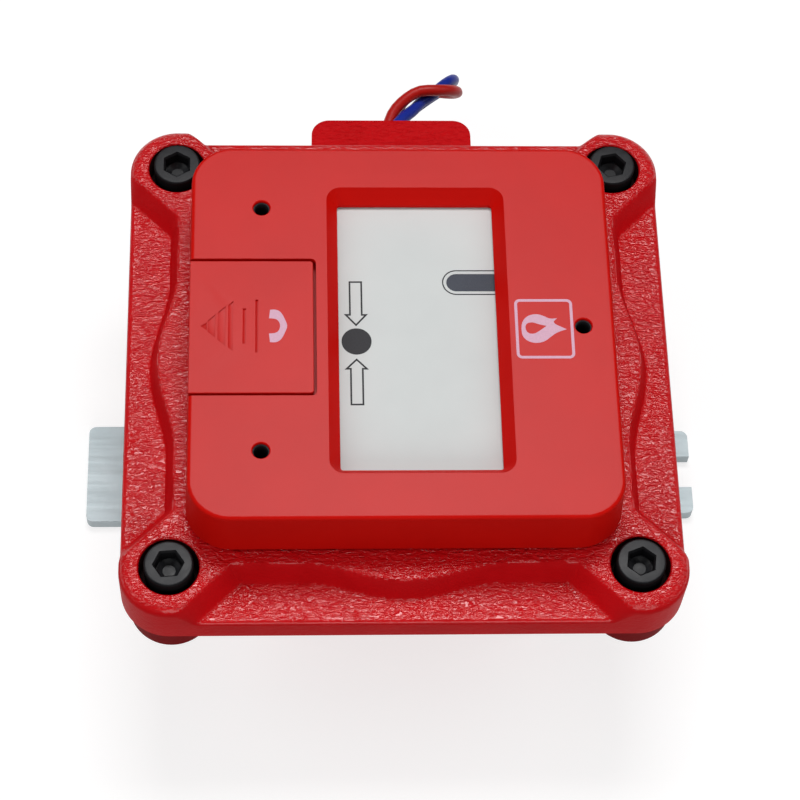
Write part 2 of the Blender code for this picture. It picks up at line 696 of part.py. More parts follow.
def build_housing():
    body = square_outline(HOUSING_HALF - HOUSING_CORNER_RADIUS)
    flange_low = PARTING - FLANGE_THICKNESS
    housing = loft("rear_housing", [(body(HOUSING_HALF), 0.0), (body(HOUSING_HALF), PARTING)], CAST_RED)
    flange = rounded_rectangle(FLANGE_HALF, FLANGE_HALF, HOUSING_CORNER_RADIUS)
    join(housing, loft("housing_flange", [(flange, flange_low), (flange, PARTING)]))
    for k, place in enumerate(corner_places(SCREW_HALF)):
        join(housing, cylinder(f"housing_lug_{k}", LUG_RADIUS, flange_low, PARTING, place))
    boss_low = BOSS_TOP - BOSS_HEIGHT
    boss = rounded_rectangle(BOSS_WIDTH / 2, BOSS_FACE_Y, BOSS_CORNER_RADIUS)
    boss_half = [(x, max(y, 0.0)) for x, y in boss]
    boss_outline = [point for k, point in enumerate(boss_half) if point != boss_half[k - 1]]
    join(housing, loft("cable_boss", [(boss_outline, boss_low), (boss_outline, BOSS_TOP)]))
    cavity = square_outline(CAVITY_HALF - CAVITY_RADIUS)
    cut(housing, loft("cavity", [(cavity(CAVITY_HALF), HOUSING_FLOOR),
                                 (cavity(CAVITY_HALF), PARTING + CUT_MARGIN)]))
    bore = cylinder("entry_bore", ENTRY_BORE_DIAMETER / 2, 0.0, BOSS_FACE_Y)
    cut(housing, along_y(bore, (0.0, BOSS_FACE_Y / 2 + CUT_MARGIN, ENTRY_Z)))
    for k, side in enumerate((-1, 1)):
        place = (side * STRAP_SCREW_PITCH / 2, 0.0)
        join(housing, cylinder(f"strap_boss_{k}", STRAP_BOSS_DIAMETER / 2, HOUSING_FLOOR - JOIN_DEPTH,
                               HOUSING_FLOOR + STRAP_BOSS_HEIGHT, place))
        cut(housing, screw_hole(f"strap_tapped_{k}", place, -CUT_MARGIN, STRAP_SCREW_LENGTH + GAP,
                                STRAP_SCREW_DIAMETER))
    join(housing, cylinder("earth_pad", EARTH_PAD_DIAMETER / 2, HOUSING_FLOOR - JOIN_DEPTH,
                           HOUSING_FLOOR + EARTH_PAD_HEIGHT, EARTH_SCREW_AT))
    cut(housing, screw_hole("earth_tapped", EARTH_SCREW_AT,
                            HOUSING_FLOOR + EARTH_PAD_HEIGHT - EARTH_SCREW_LENGTH - GAP, PARTING))
    channel = STRAP_WIDTH / 2 + GAP
    cut(housing, box("strap_channel", (-HOUSING_WIDTH, -channel, -CUT_MARGIN),
                     (HOUSING_WIDTH, channel, STRAP_CHANNEL)))
    for k, place in enumerate(corner_places(SCREW_HALF)):
        cut(housing, cylinder(f"lug_hole_{k}", SCREW_DIAMETER / 2 + GAP, 0.0, PARTING + CUT_MARGIN, place))
    for k, end in enumerate(terminal_ends()):
        cut(housing, screw_hole(f"block_tapped_{k}", end, STRAP_CHANNEL + JOIN_DEPTH, PARTING))
    groove = GASKET_WIDTH / 2 + GAP
    cut(housing, plate("gasket_groove", gasket_outlines(groove), PARTING - GASKET_DEPTH - GAP,
                       PARTING + CUT_MARGIN))
    plate("lid_gasket", gasket_outlines(GASKET_WIDTH / 2), PARTING - GASKET_DEPTH, PARTING, RUBBER)


def gasket_outlines(half_width):
    outer = GASKET_HALF + half_width
    inner = GASKET_HALF - half_width
    return [rounded_rectangle(outer, outer, HOUSING_CORNER_RADIUS + half_width),
            rounded_rectangle(inner, inner, HOUSING_CORNER_RADIUS - half_width)]


def terminal_ends():
    reach = TERMINAL_LENGTH / 2 - TERMINAL_END / 2
    return [(-reach, TERMINAL_BLOCK_Y), (reach, TERMINAL_BLOCK_Y)]


def build_strap():
    half = STRAP_LENGTH / 2
    wide = STRAP_WIDTH / 2
    narrow = FORK_WIDTH / 2
    step_x = half - FORK_LENGTH
    slot = FORK_SLOT_WIDTH / 2
    slot_end = half - FORK_SLOT_LENGTH + slot
    bend = STRAP_CORNER_RADIUS
    outline = arc((-half + bend, wide - bend), bend, 90, 180, CORNER_STEPS)
    outline += arc((-half + bend, -wide + bend), bend, 180, 270, CORNER_STEPS)
    outline += [(step_x - (wide - narrow), -wide), (step_x, -narrow)]
    outline += arc((half - bend, -narrow + bend), bend, 270, 360, CORNER_STEPS)
    outline += [(half, -slot)]
    outline += arc((slot_end, 0.0), slot, 270, 90, 2 * CORNER_STEPS)
    outline += [(half, slot)]
    outline += arc((half - bend, narrow - bend), bend, 0, 90, CORNER_STEPS)
    outline += [(step_x, narrow), (step_x - (wide - narrow), wide)]
    strap = plate("mounting_strap", [outline], 0.0, STRAP_THICKNESS, ZINC)
    head = STRAP_SCREW_HEAD / 2
    shank = STRAP_SCREW_DIAMETER / 2
    cone = head - shank
    for k, side in enumerate((-1, 1), start=1):
        place = (side * STRAP_SCREW_PITCH / 2, 0.0)
        cut(strap, turned(f"countersink_{k}", ((0.0, STRAP_THICKNESS + CUT_MARGIN),
                                               (shank + GAP, STRAP_THICKNESS + CUT_MARGIN),
                                               (shank + GAP, cone), (head + GAP, 0.0),
                                               (head + GAP, -CUT_MARGIN), (0.0, -CUT_MARGIN)),
                          (*place, 0.0)))
        screw = turned(f"strap_screw_{k}", ((0.0, STRAP_SCREW_LENGTH), (shank, STRAP_SCREW_LENGTH),
                                            (shank, cone), (head, GAP), (0.0, GAP)), (*place, 0.0), ZINC)
        cut(screw, hexagon(f"strap_socket_{k}", STRAP_SCREW_SOCKET, -CUT_MARGIN, cone, place))


def build_entry():
    ring_mid = ENTRY_RING_FACE - ENTRY_RING_LENGTH / 2
    outer = ENTRY_BORE_DIAMETER / 2 - GAP
    half = ENTRY_RING_LENGTH / 2
    ring = cylinder("entry_ring", outer, -half, half, material=ZINC)
    hole = cylinder("entry_ring_bore", ENTRY_RING_BORE / 2, -ENTRY_RING_LENGTH, ENTRY_RING_LENGTH)
    cut(along_y(ring, (0.0, ring_mid, ENTRY_Z)), along_y(hole, (0.0, ring_mid, ENTRY_Z)))
    seal = cylinder("entry_seal", outer, -ENTRY_SEAL_LENGTH / 2, ENTRY_SEAL_LENGTH / 2, material=RUBBER)
    along_y(seal, (0.0, SEAL_FACE - ENTRY_SEAL_LENGTH / 2, ENTRY_Z))


def build_cover():
    outline = square_outline(COVER_HALF - COVER_CORNER_RADIUS)
    levels = edge_levels(outline, COVER_HALF, COVER_BOTTOM, COVER_TOP, COVER_EDGE_RADIUS)
    levels[0] = (outline(COVER_HALF + COVER_DRAFT), COVER_BOTTOM)
    cover = loft("front_cover", levels, PLASTIC_RED)
    room = COVER_HALF - COVER_WALL
    room_outline = rounded_rectangle(room, room, COVER_CORNER_RADIUS - COVER_WALL)
    cut(cover, loft("cover_room", [(room_outline, COVER_BOTTOM - CUT_MARGIN), (room_outline, FACE_UNDER)]))
    for k, place in enumerate(KEY_HOLES):
        radius = KEY_HOLE_DIAMETER / 2
        join(cover, cylinder(f"key_tube_{k}", radius + KEY_TUBE_WALL, KEY_TUBE_BOTTOM,
                             FACE_UNDER + COVER_FACE / 2, place))
        cut(cover, cylinder(f"key_hole_{k}", radius, KEY_TUBE_BOTTOM - CUT_MARGIN,
                            COVER_TOP + CUT_MARGIN, place))
    jack_place = (JACK_X, 0.0)
    join(cover, cylinder("jack_boss", JACK_BOSS_RADIUS, WELL_FLOOR - JACK_SEAT, FACE_UNDER + GAP,
                         jack_place))
    cut(cover, window_cutter(), *door_cutters())
    cut(cover, cylinder("jack_well", JACK_WELL_RADIUS, WELL_FLOOR, COVER_TOP, jack_place))
    cut(cover, cylinder("bush_hole", JACK_BUSH_DIAMETER / 2 + GAP, WELL_FLOOR - JACK_SEAT - CUT_MARGIN,
                        COVER_TOP, jack_place))


def window_cutter():
    centre = (WINDOW_CENTRE_X, 0.0)
    half_x = WINDOW_LENGTH_X / 2
    half_y = WINDOW_LENGTH_Y / 2
    lip = COVER_TOP - WINDOW_BEVEL_DEPTH
    over = COVER_TOP + CUT_MARGIN
    spread = (over - lip) * WINDOW_BEVEL / WINDOW_BEVEL_DEPTH
    levels = []
    for z, grow in ((FACE_UNDER - CUT_MARGIN, 0.0), (lip, 0.0), (over, spread)):
        outline = rounded_rectangle(half_x + grow, half_y + grow, WINDOW_CORNER_RADIUS + grow, centre)
        levels.append((outline, z))
    return loft("window", levels)


def door_cutters():
    right = DOOR_HIGH_X + DOOR_SIDE_GAP
    groove = RECESS_HALF_Y + DOOR_TONGUE_WIDTH
    past = DOOR_LOW_X - CUT_MARGIN
    recess = box("door_recess", (past, -RECESS_HALF_Y, RECESS_FLOOR),
                 (right, RECESS_HALF_Y, COVER_TOP + CUT_MARGIN))
    grooves = box("door_grooves", (past, -groove, RECESS_FLOOR),
                  (right, groove, DOOR_UNDER + DOOR_TONGUE_THICKNESS + GAP))
    notch = box("door_notch", (past, -RECESS_HALF_Y, DOOR_UNDER - DOOR_LIP_HEIGHT - GAP),
                (DOOR_LOW_X + DOOR_LIP_THICKNESS + GAP, RECESS_HALF_Y, COVER_TOP))
    return recess, grooves, notch


def relief_cutter(name, middle_x, length, width, lean):
    """A shallow four-sided pocket in the door; lean narrows its end towards -X."""
    low = middle_x - length / 2
    high = middle_x + length / 2
    near = width / 2
    far = max(near - lean, width * RELIEF_TIP_SHARE)
    outline = [(low, -far), (high, -near), (high, near), (low, far)]
    return loft(name, [(outline, COVER_TOP - RELIEF_DEPTH), (outline, COVER_TOP + CUT_MARGIN)])


def build_door():
    half = DOOR_WIDTH / 2
    door = box("jack_door", (DOOR_LOW_X, -half, DOOR_UNDER), (DOOR_HIGH_X, half, COVER_TOP), PLASTIC_RED)
    tongue = half + DOOR_TONGUE_WIDTH
    join(door, box("door_tongues", (DOOR_LOW_X + DOOR_LIP_THICKNESS, -tongue, DOOR_UNDER),
                   (DOOR_HIGH_X, tongue, DOOR_UNDER + DOOR_TONGUE_THICKNESS)))
    join(door, box("door_lip", (DOOR_LOW_X, -half, DOOR_UNDER - DOOR_LIP_HEIGHT),
                   (DOOR_LOW_X + DOOR_LIP_THICKNESS, half, DOOR_UNDER + DOOR_THICKNESS / 2)))
    centre = DOOR_HIGH_X - RELIEF_SETBACK
    for k, (back, length, width) in enumerate(RELIEF_ARROW):
        cut(door, relief_cutter(f"relief_arrow_{k}", centre - back, length, width, length * RELIEF_SLOPE))
    for k, (back, length, width) in enumerate(RELIEF_LINES):
        cut(door, relief_cutter(f"relief_line_{k}", centre - back, length, width, 0.0))
    set_origin(door, (DOOR_LOW_X, 0.0, DOOR_UNDER))


def slot_outline(inset):
    """The indicator slot in the press plate: a round tip at -X, running on under the window's edge."""
    radius = SLOT_WIDTH / 2 - inset
    end = WINDOW_CENTRE_X + WINDOW_LENGTH_X / 2 + PLATE_OVERLAP / 3 - inset
    tip = arc((SLOT_TIP_X + SLOT_WIDTH / 2, SLOT_Y), radius, 90, 270, 2 * CORNER_STEPS)
    return tip + [(end, SLOT_Y - radius), (end, SLOT_Y + radius)]


def hinge_rod(name, radius, low_y, high_y, material=None):
    """A round bar on the hinge axis, between two places along it."""
    half = (high_y - low_y) / 2
    item = cylinder(name, radius, -half, half, material=material, steps=MIDDLE_STEPS)
    return along_y(item, (HINGE_X, (low_y + high_y) / 2, HINGE_Z))


def build_press_plate():
    face = rounded_rectangle((PLATE_HIGH_X - PLATE_LOW_X) / 2, PLATE_HALF_Y, PLATE_OVERLAP / 2,
                             ((PLATE_HIGH_X + PLATE_LOW_X) / 2, 0.0), 2)
    press = plate("press_plate", [face], PLATE_UNDER, PLATE_TOP, PLATE_WHITE)
    radius = KNUCKLE_DIAMETER / 2
    for k, side in enumerate((-1, 1)):
        low = side * KNUCKLE_CENTRE_Y - KNUCKLE_LENGTH / 2
        high = low + KNUCKLE_LENGTH
        join(press, hinge_rod(f"knuckle_{k}", radius, low, high))
        join(press, box(f"knuckle_web_{k}", (HINGE_X - KNUCKLE_WEB_BACK, low, HINGE_Z),
                        (HINGE_X + KNUCKLE_WEB_FRONT, high, PLATE_UNDER + PLATE_THICKNESS / 2)))
    pin_end = KNUCKLE_CENTRE_Y + KNUCKLE_LENGTH
    cut(press, hinge_rod("knuckle_bore", HINGE_PIN_DIAMETER / 2 + RUNNING_GAP, -pin_end, pin_end))
    slot = slot_outline(0.0)
    cut(press, loft("indicator_slot", [(slot, PLATE_TOP - SLOT_DEPTH), (slot, PLATE_TOP + CUT_MARGIN)]))
    cut(press, cylinder("indicator_hole", LED_DIAMETER / 2 - GAP, PLATE_UNDER - CUT_MARGIN, PLATE_TOP,
                        (LED_X, SLOT_Y)))
    set_origin(press, (HINGE_X, 0.0, HINGE_Z))
    glass_low = PLATE_TOP - SLOT_DEPTH + GAP
    glass = plate("indicator_window", [slot_outline(GAP)], glass_low, glass_low + SLOT_GLASS, SMOKED)
    set_origin(glass, (HINGE_X, 0.0, HINGE_Z))
    post_end = KNUCKLE_CENTRE_Y + KNUCKLE_LENGTH / 2 + GAP + POST_LENGTH
    hinge_rod("hinge_pin", HINGE_PIN_DIAMETER / 2, -post_end, post_end, STEEL)


def build_rod():
    stem = ROD_DIAMETER / 2
    neck = stem - CLIP_GROOVE_DEPTH
    head = ROD_HEAD_DIAMETER / 2
    groove_top = CLIP_TOP + RUNNING_GAP
    groove_low = CLIP_BOTTOM - RUNNING_GAP
    profile = ((0.0, ROD_HEAD_TOP), (head, ROD_HEAD_TOP), (head, ROD_HEAD_UNDER), (stem, ROD_HEAD_UNDER),
               (stem, groove_top), (neck, groove_top), (neck, groove_low), (stem, groove_low),
               (stem, ROD_BOTTOM), (0.0, ROD_BOTTOM))
    turned("push_rod", profile, (PRESS_X, 0.0, 0.0), CREAM_PLASTIC, MIDDLE_STEPS)
    mouth = CLIP_MOUTH_ANGLE
    outer = arc((PRESS_X, 0.0), CLIP_DIAMETER / 2, mouth, 360 - mouth, 2 * CORNER_STEPS)
    inner = arc((PRESS_X, 0.0), neck + RUNNING_GAP, 360 - mouth, mouth, 2 * CORNER_STEPS)
    plate("rod_clip", [outer + inner], CLIP_BOTTOM, CLIP_TOP, STEEL)
    low = CARRIER_TOP + GAP + SPRING_WIRE / 2
    high = ROD_HEAD_UNDER - GAP - SPRING_WIRE / 2
    count = SPRING_TURNS * SPRING_TURN_STEPS
    coil = []
    for k in range(count + 1):
        turn = 2 * math.pi * k / SPRING_TURN_STEPS
        coil.append((PRESS_X + SPRING_DIAMETER / 2 * math.cos(turn), SPRING_DIAMETER / 2 * math.sin(turn),
                     low + (high - low) * k / count))
    tube("rod_spring", coil, SPRING_WIRE, STEEL, sides=1)


def pillar_places():
    reach_x = BOARD_HALF_X - PILLAR_INSET
    reach_y = BOARD_HALF_Y - PILLAR_INSET
    return [(sign_x * reach_x, sign_y * reach_y) for sign_x, sign_y in CORNERS]


def circle(place, radius, steps=SMALL_STEPS):
    return arc(place, radius, 0, 360 - 360 / steps, steps - 1)


def build_carrier():
    jack_half = JACK_BODY_WIDTH / 2 + GAP
    outlines = [rounded_rectangle(CARRIER_HALF, CARRIER_HALF, CARRIER_CORNER),
                circle((PRESS_X, 0.0), ROD_DIAMETER / 2 + RUNNING_GAP, MIDDLE_STEPS),
                circle((LED_X, SLOT_Y), LED_DIAMETER / 2 + GAP, MIDDLE_STEPS),
                rounded_rectangle(jack_half, jack_half, GAP, (JACK_BODY_X, 0.0), 1)]
    screw_places = corner_places(CARRIER_SCREW_PITCH / 2)
    outlines += [circle(place, SMALL_SCREW_DIAMETER / 2 + GAP) for place in screw_places]
    carrier = plate("carrier_plate", outlines, CARRIER_BOTTOM, CARRIER_TOP, DARK_PLASTIC)
    sunk = CARRIER_THICKNESS / 2
    for k, place in enumerate(pillar_places()):
        join(carrier, cylinder(f"pillar_{k}", PILLAR_DIAMETER / 2, CARRIER_BOTTOM - PILLAR_LENGTH,
                               CARRIER_BOTTOM + sunk, place))
        cut(carrier, screw_hole(f"pillar_hole_{k}", place, BOARD_TOP - CUT_MARGIN,
                                BOARD_UNDER + SMALL_SCREW_LENGTH))
    half = CATCH_WIDTH / 2
    for k, (x, y) in enumerate(KEY_HOLES):
        join(carrier, box(f"catch_{k}", (x - half, y - half, CARRIER_TOP - sunk),
                          (x + half, y + half, KEY_TUBE_BOTTOM - GAP)))
    post = KNUCKLE_DIAMETER / 2
    inner = KNUCKLE_CENTRE_Y + KNUCKLE_LENGTH / 2 + GAP
    for k, side in enumerate((-1, 1)):
        low, high = sorted((side * inner, side * (inner + POST_LENGTH)))
        join(carrier, box(f"hinge_post_{k}", (HINGE_X - post, low, CARRIER_TOP - sunk),
                          (HINGE_X + post, high, PLATE_UNDER - GAP)))
    reach = inner + POST_LENGTH + CUT_MARGIN
    cut(carrier, hinge_rod("post_bore", HINGE_PIN_DIAMETER / 2 + RUNNING_GAP, -reach, reach))
    for k, place in enumerate(screw_places, start=1):
        small_screw(f"carrier_screw_{k}", place, CARRIER_TOP + GAP)


def build_board():
    outlines = [rounded_rectangle(BOARD_HALF_X, BOARD_HALF_Y, PILLAR_DIAMETER / 2, steps=EDGE_STEPS)]
    outlines += [circle(place, SMALL_SCREW_DIAMETER / 2 + GAP) for place in pillar_places()]
    plate("circuit_board", outlines, BOARD_UNDER, BOARD_TOP, BOARD_GREEN)
    for k, place in enumerate(pillar_places(), start=1):
        small_screw(f"board_screw_{k}", place, BOARD_UNDER - GAP, upward=False)
    switch = box("switch_body", (PRESS_X - SWITCH_WIDTH / 2, -SWITCH_LENGTH / 2, SWITCH_BOTTOM),
                 (PRESS_X + SWITCH_WIDTH / 2, SWITCH_LENGTH / 2, SWITCH_TOP), DARK_PLASTIC)
    plunger_low = SWITCH_TOP - PLUNGER_SUNK
    bore_low = plunger_low - PRESS_TRAVEL - GAP
    cut(switch, cylinder("plunger_bore", PLUNGER_DIAMETER / 2 + RUNNING_GAP, bore_low,
                         SWITCH_TOP + CUT_MARGIN, (PRESS_X, 0.0), steps=MIDDLE_STEPS))
    cylinder("switch_plunger", PLUNGER_DIAMETER / 2, plunger_low, PLUNGER_TOP, (PRESS_X, 0.0), LED_RED,
             MIDDLE_STEPS)
    led_low = BOARD_TOP + GAP
    lamp = LED_DIAMETER / 2
    shoulder = LED_HEIGHT - LED_DOME
    profile = [(lamp * math.sin(turn), shoulder + LED_DOME * math.cos(turn))
               for turn in (0.0, math.pi / 4, math.pi / 2)]
    rim = lamp + LED_RIM
    profile += [(lamp, LED_RIM_THICKNESS), (rim, LED_RIM_THICKNESS), (rim, 0.0), (0.0, 0.0)]
    turned("status_led", profile, (LED_X, SLOT_Y, led_low), LED_RED, MIDDLE_STEPS)
    cylinder("light_guide", lamp, led_low + LED_HEIGHT + GAP, PLATE_UNDER - LIGHT_GUIDE_GAP, (LED_X, SLOT_Y),
             CLEAR_PLASTIC, MIDDLE_STEPS)


def build_jack():
    half = JACK_BODY_WIDTH / 2
    place = (JACK_X, 0.0)
    jack = box("phone_jack", (JACK_BODY_X - half, -half, BOARD_TOP + GAP),
               (JACK_BODY_X + half, half, JACK_SHOULDER), DARK_PLASTIC)
    join(jack, cylinder("jack_bush", JACK_BUSH_DIAMETER / 2, JACK_SHOULDER - CUT_MARGIN, JACK_MOUTH, place))
    cut(jack, cylinder("jack_bore", JACK_BORE_DIAMETER / 2, JACK_MOUTH - JACK_BORE_DEPTH,
                       JACK_MOUTH + CUT_MARGIN, place))
    nut_low = WELL_FLOOR + GAP
    nut_outline = arc(place, JACK_NUT_CORNER, 0, 300, 5)
    plate("jack_nut", [nut_outline, circle(place, JACK_BUSH_DIAMETER / 2 + GAP, ROUND_STEPS)], nut_low,
          nut_low + JACK_NUT_THICKNESS, ZINC)


def build_terminals():
    half_x = TERMINAL_COUNT * TERMINAL_PITCH / 2
    half_y = TERMINAL_BLOCK_DEPTH / 2
    low_y = TERMINAL_BLOCK_Y - half_y
    high_y = TERMINAL_BLOCK_Y + half_y
    ear_top = TERMINAL_BOTTOM + TERMINAL_EAR_HEIGHT
    block = box("terminal_block", (-half_x, low_y, TERMINAL_BOTTOM), (half_x, high_y, TERMINAL_TOP),
                CREAM_PLASTIC)
    join(block, box("terminal_ears", (-TERMINAL_LENGTH / 2, low_y, TERMINAL_BOTTOM),
                    (TERMINAL_LENGTH / 2, high_y, ear_top)))
    for k, place in enumerate(terminal_ends(), start=1):
        cut(block, screw_hole(f"ear_hole_{k}", place, 0.0, TERMINAL_TOP))
        small_screw(f"block_screw_{k}", place, ear_top + GAP)
    for k in range(TERMINAL_COUNT):
        place = ((k - (TERMINAL_COUNT - 1) / 2) * TERMINAL_PITCH, TERMINAL_BLOCK_Y)
        cut(block, screw_hole(f"terminal_hole_{k}", place, TERMINAL_TOP - TERMINAL_SCREW_LENGTH - GAP,
                              TERMINAL_TOP + CUT_MARGIN))
        small_screw(f"terminal_screw_{k + 1}", place, TERMINAL_TOP + GAP, TERMINAL_SCREW_LENGTH,
                    material=BRASS)
    small_screw("earth_screw", EARTH_SCREW_AT, HOUSING_FLOOR + EARTH_PAD_HEIGHT + GAP,
                EARTH_SCREW_LENGTH, material=BRASS)


def smooth_route(route, spacing):
    """Evenly spaced points on a smooth curve through the route's own points."""
    fine = ROUTE_FINENESS
    knots = [Vector(point) for point in route]
    knots = [knots[0] * 2 - knots[1]] + knots + [knots[-1] * 2 - knots[-2]]
    dense = []
    for a, b, c, d in zip(knots, knots[1:], knots[2:], knots[3:]):
        for k in range(fine):
            t = k / fine
            dense.append(0.5 * (2 * b + (c - a) * t + (2 * a - 5 * b + 4 * c - d) * t ** 2
                                + (3 * b - a - 3 * c + d) * t ** 3))
    dense.append(knots[-2])
    lengths = [0.0]
    for first, second in zip(dense, dense[1:]):
        lengths.append(lengths[-1] + (second - first).length)
    steps = max(2, round(lengths[-1] / spacing))
    points = []
    span = 0
    for k in range(steps + 1):
        goal = lengths[-1] * k / steps
        while span < len(dense) - 2 and lengths[span + 1] < goal:
            span += 1
        share = (goal - lengths[span]) / (lengths[span + 1] - lengths[span])
        points.append(dense[span].lerp(dense[span + 1], min(share, 1.0)))
    return points


def twisted(points, phase):
    """One lead of a pair that winds round the route's middle."""
    side = Vector((1.0, 0.0, 0.0))
    travelled = 0.0
    lead = []
    for k, point in enumerate(points):
        ahead = points[min(k + 1, len(points) - 1)]
        behind = points[max(k - 1, 0)]
        direction = (ahead - behind).normalized()
        side = (side - direction * side.dot(direction)).normalized()
        across = direction.cross(side)
        travelled += (point - behind).length
        turn = phase + 2 * math.pi * max(travelled - TWIST_RUN_IN, 0.0) / TWIST_PITCH
        lead.append(point + (side * math.cos(turn) + across * math.sin(turn)) * PAIR_OFFSET)
    return lead


def build_leads():
    middle = smooth_route(LEAD_ROUTE, LEAD_POINT_SPACING)
    for colour, phase, material in (("red", 0.0, LEAD_RED), ("blue", math.pi, LEAD_BLUE)):
        lead = twisted(middle, phase)
        tube(f"{colour}_lead", lead, LEAD_DIAMETER, material)
        direction = (middle[-1] - middle[-2]).normalized()
        tip = [lead[-1] + direction * GAP, lead[-1] + direction * LEAD_TIP_LENGTH]
        tube(f"{colour}_lead_tip", tip, LEAD_TIP_DIAMETER, COPPER)
    for colour, mirror, material in (("red", 1.0, LEAD_RED), ("blue", -1.0, LEAD_BLUE)):
        inner = smooth_route([(x * mirror, y, z) for x, y, z in INNER_RED_ROUTE], LEAD_POINT_SPACING)
        tube(f"inner_lead_{colour}", inner, LEAD_DIAMETER, material)


build_strap()
build_housing()
build_entry()
build_lid()
build_lid_screws()
build_carrier()
build_board()
build_jack()
build_terminals()
build_rod()
build_press_plate()
build_cover()
build_door()
build_leads()
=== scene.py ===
"""Dressed scene of a flameproof manual call point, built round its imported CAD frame.

Everything is in metres in the CAD frame: the front faces +Z, the device's upper edge is at +X and the
cable boss is at +Y.
"""
import json
import math

import bmesh
import bpy
import numpy as np
from mathutils import Matrix, Vector


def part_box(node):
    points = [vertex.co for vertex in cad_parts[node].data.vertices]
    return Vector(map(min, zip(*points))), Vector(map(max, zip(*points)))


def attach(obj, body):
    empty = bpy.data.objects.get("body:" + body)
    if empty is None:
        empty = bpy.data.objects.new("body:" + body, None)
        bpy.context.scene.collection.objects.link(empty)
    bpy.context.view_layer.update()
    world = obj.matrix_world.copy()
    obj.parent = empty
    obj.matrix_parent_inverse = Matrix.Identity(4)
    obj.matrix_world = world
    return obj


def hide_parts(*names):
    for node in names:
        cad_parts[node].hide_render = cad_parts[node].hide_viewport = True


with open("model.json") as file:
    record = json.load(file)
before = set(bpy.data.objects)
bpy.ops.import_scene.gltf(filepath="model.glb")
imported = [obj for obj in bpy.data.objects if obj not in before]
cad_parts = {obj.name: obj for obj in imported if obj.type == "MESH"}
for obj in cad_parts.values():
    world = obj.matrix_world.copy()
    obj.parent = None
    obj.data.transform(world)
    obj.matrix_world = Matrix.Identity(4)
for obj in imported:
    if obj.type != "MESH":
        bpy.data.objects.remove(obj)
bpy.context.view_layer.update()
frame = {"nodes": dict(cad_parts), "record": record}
NODES = frame["nodes"]

# Camera, from the photograph's own perspective
CAMERA_AT = (-0.0244, -0.2533, 0.5145)
CAMERA_FORWARD = (0.0465, 0.4692, -0.8819)
CAMERA_RIGHT = (0.9989, -0.0237, 0.0400)
CAMERA_LENS = 112.26
SENSOR = 36.0

# Light
FLOOR_GLOW = 0.70
WORLD_LIGHT = 0.12

# Sizes read from the CAD nodes
LID_LOW, LID_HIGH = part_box("front_lid")
COVER_LOW, COVER_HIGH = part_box("front_cover")
DOOR_LOW, DOOR_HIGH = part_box("jack_door")
PLATE_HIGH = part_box("press_plate")[1]
HOUSING_LOW, HOUSING_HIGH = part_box("rear_housing")
STRAP_LOW, STRAP_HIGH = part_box("mounting_strap")
SCREW_LOW, SCREW_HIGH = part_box("lid_screw_3")
WASHER_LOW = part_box("lid_washer_3")[0]

# Lid
OVERCUT = 0.002
SCREW_HALF = 0.0475
LID_HALF = LID_HIGH[0]
LOBE_RADIUS = LID_HALF - SCREW_HALF
LEDGE_TOP = 0.0513
LID_TOP = LID_HIGH[2]
LID_BOTTOM = LID_LOW[2]
RIDGE_HEIGHT = LID_TOP - LEDGE_TOP
RIDGE_VALLEY_TOP = 0.0469
RIDGE_VALLEY_FOOT = 0.0488
RIDGE_NECK_TOP = 0.0083
RIDGE_NECK_FOOT = 0.0111
RIDGE_WAVE = 0.0038
RIDGE_PAST_EDGE = 0.0002
RIDGE_CORNER = 0.0009
WAVE_HALF_LENGTH = 0.0215
SATIN_BELOW = 0.6
COVER_FLAT = 0.95
SEAT_FLOOR = 0.0545
SEAT_HALF = 0.0405
SEAT_CORNER = 0.0055
TAPPED_AT = 0.033
TAPPED_RADIUS = 0.0018
TAPPED_DEPTH = 0.0058
LID_HOLE_RADIUS = 0.0033
WELL_DEPTH_SEEN = 0.0004
OPENING_HALF = 0.0368
OPENING_SUM = 0.0576
CORNER_POINTS = 28
SIDE_POINTS = 216
EDGE_ROUND = 0.0009
LOBE_ROUND = 0.0024
COUNTERBORE_RADIUS = 0.0061
COUNTERBORE_FLOOR = WASHER_LOW[2] - 0.0003

# Cover, window and door
COVER_HALF = 0.0437
PRINT_LIFT = 0.00003
COVER_TOP = COVER_HIGH[2] - PRINT_LIFT
COVER_BOTTOM = COVER_LOW[2]
COVER_CORNER = 0.0087
COVER_DRAFT = COVER_HIGH[0] - COVER_HALF
COVER_EDGE = 0.0009
# Band at the cover's foot, set back a little: its dark colour is a painted shadow under the cover's edge.
COVER_SHADE_BAND = 0.0009
COVER_SHADE_BAND_INSET = 0.0003
COVER_FACE_UNDER = 0.0665
COVER_WALL = 0.0032
WINDOW_CENTRE = (0.0033, 0.0)
WINDOW_HALF = (0.0164, 0.03135)
WINDOW_BEVEL = 0.0023
WINDOW_BEVEL_DEPTH = 0.0034
KEY_HOLES = ((-0.029, 0.0285), (-0.029, -0.0285), (0.0372, 0.0))
KEY_HOLE_RADIUS = 0.00175
KEY_TUBE_RADIUS = 0.00345
RELIEF_SETBACK = 0.01235
DOOR_UNDER = 0.0683
DOOR_HALF_Y = 0.0155
DOOR_GAP = 0.0006
DOOR_RIGHT = DOOR_HIGH[0]
DOOR_LIP = 0.0014
JACK_X = -0.0265

# Housing
HOUSING_HALF = 0.0385
HOUSING_CORNER = 0.010
HOUSING_FLOOR = 0.007
FLANGE_HALF = 0.052
FLANGE_LOW = 0.0363
LUG_RADIUS = 0.0088
LUG_ROUND = 0.0014
BOSS_HALF = 0.018
BOSS_CORNER = 0.004
BOSS_LEVELS = (0.012, 0.044)
ENTRY_BORE = 0.012
ENTRY_Z = 0.028
CAVITY_HALF = 0.0353
CAVITY_CORNER = 0.0068
CHANNEL_HALF = 0.0123
CHANNEL_DEPTH = 0.0033

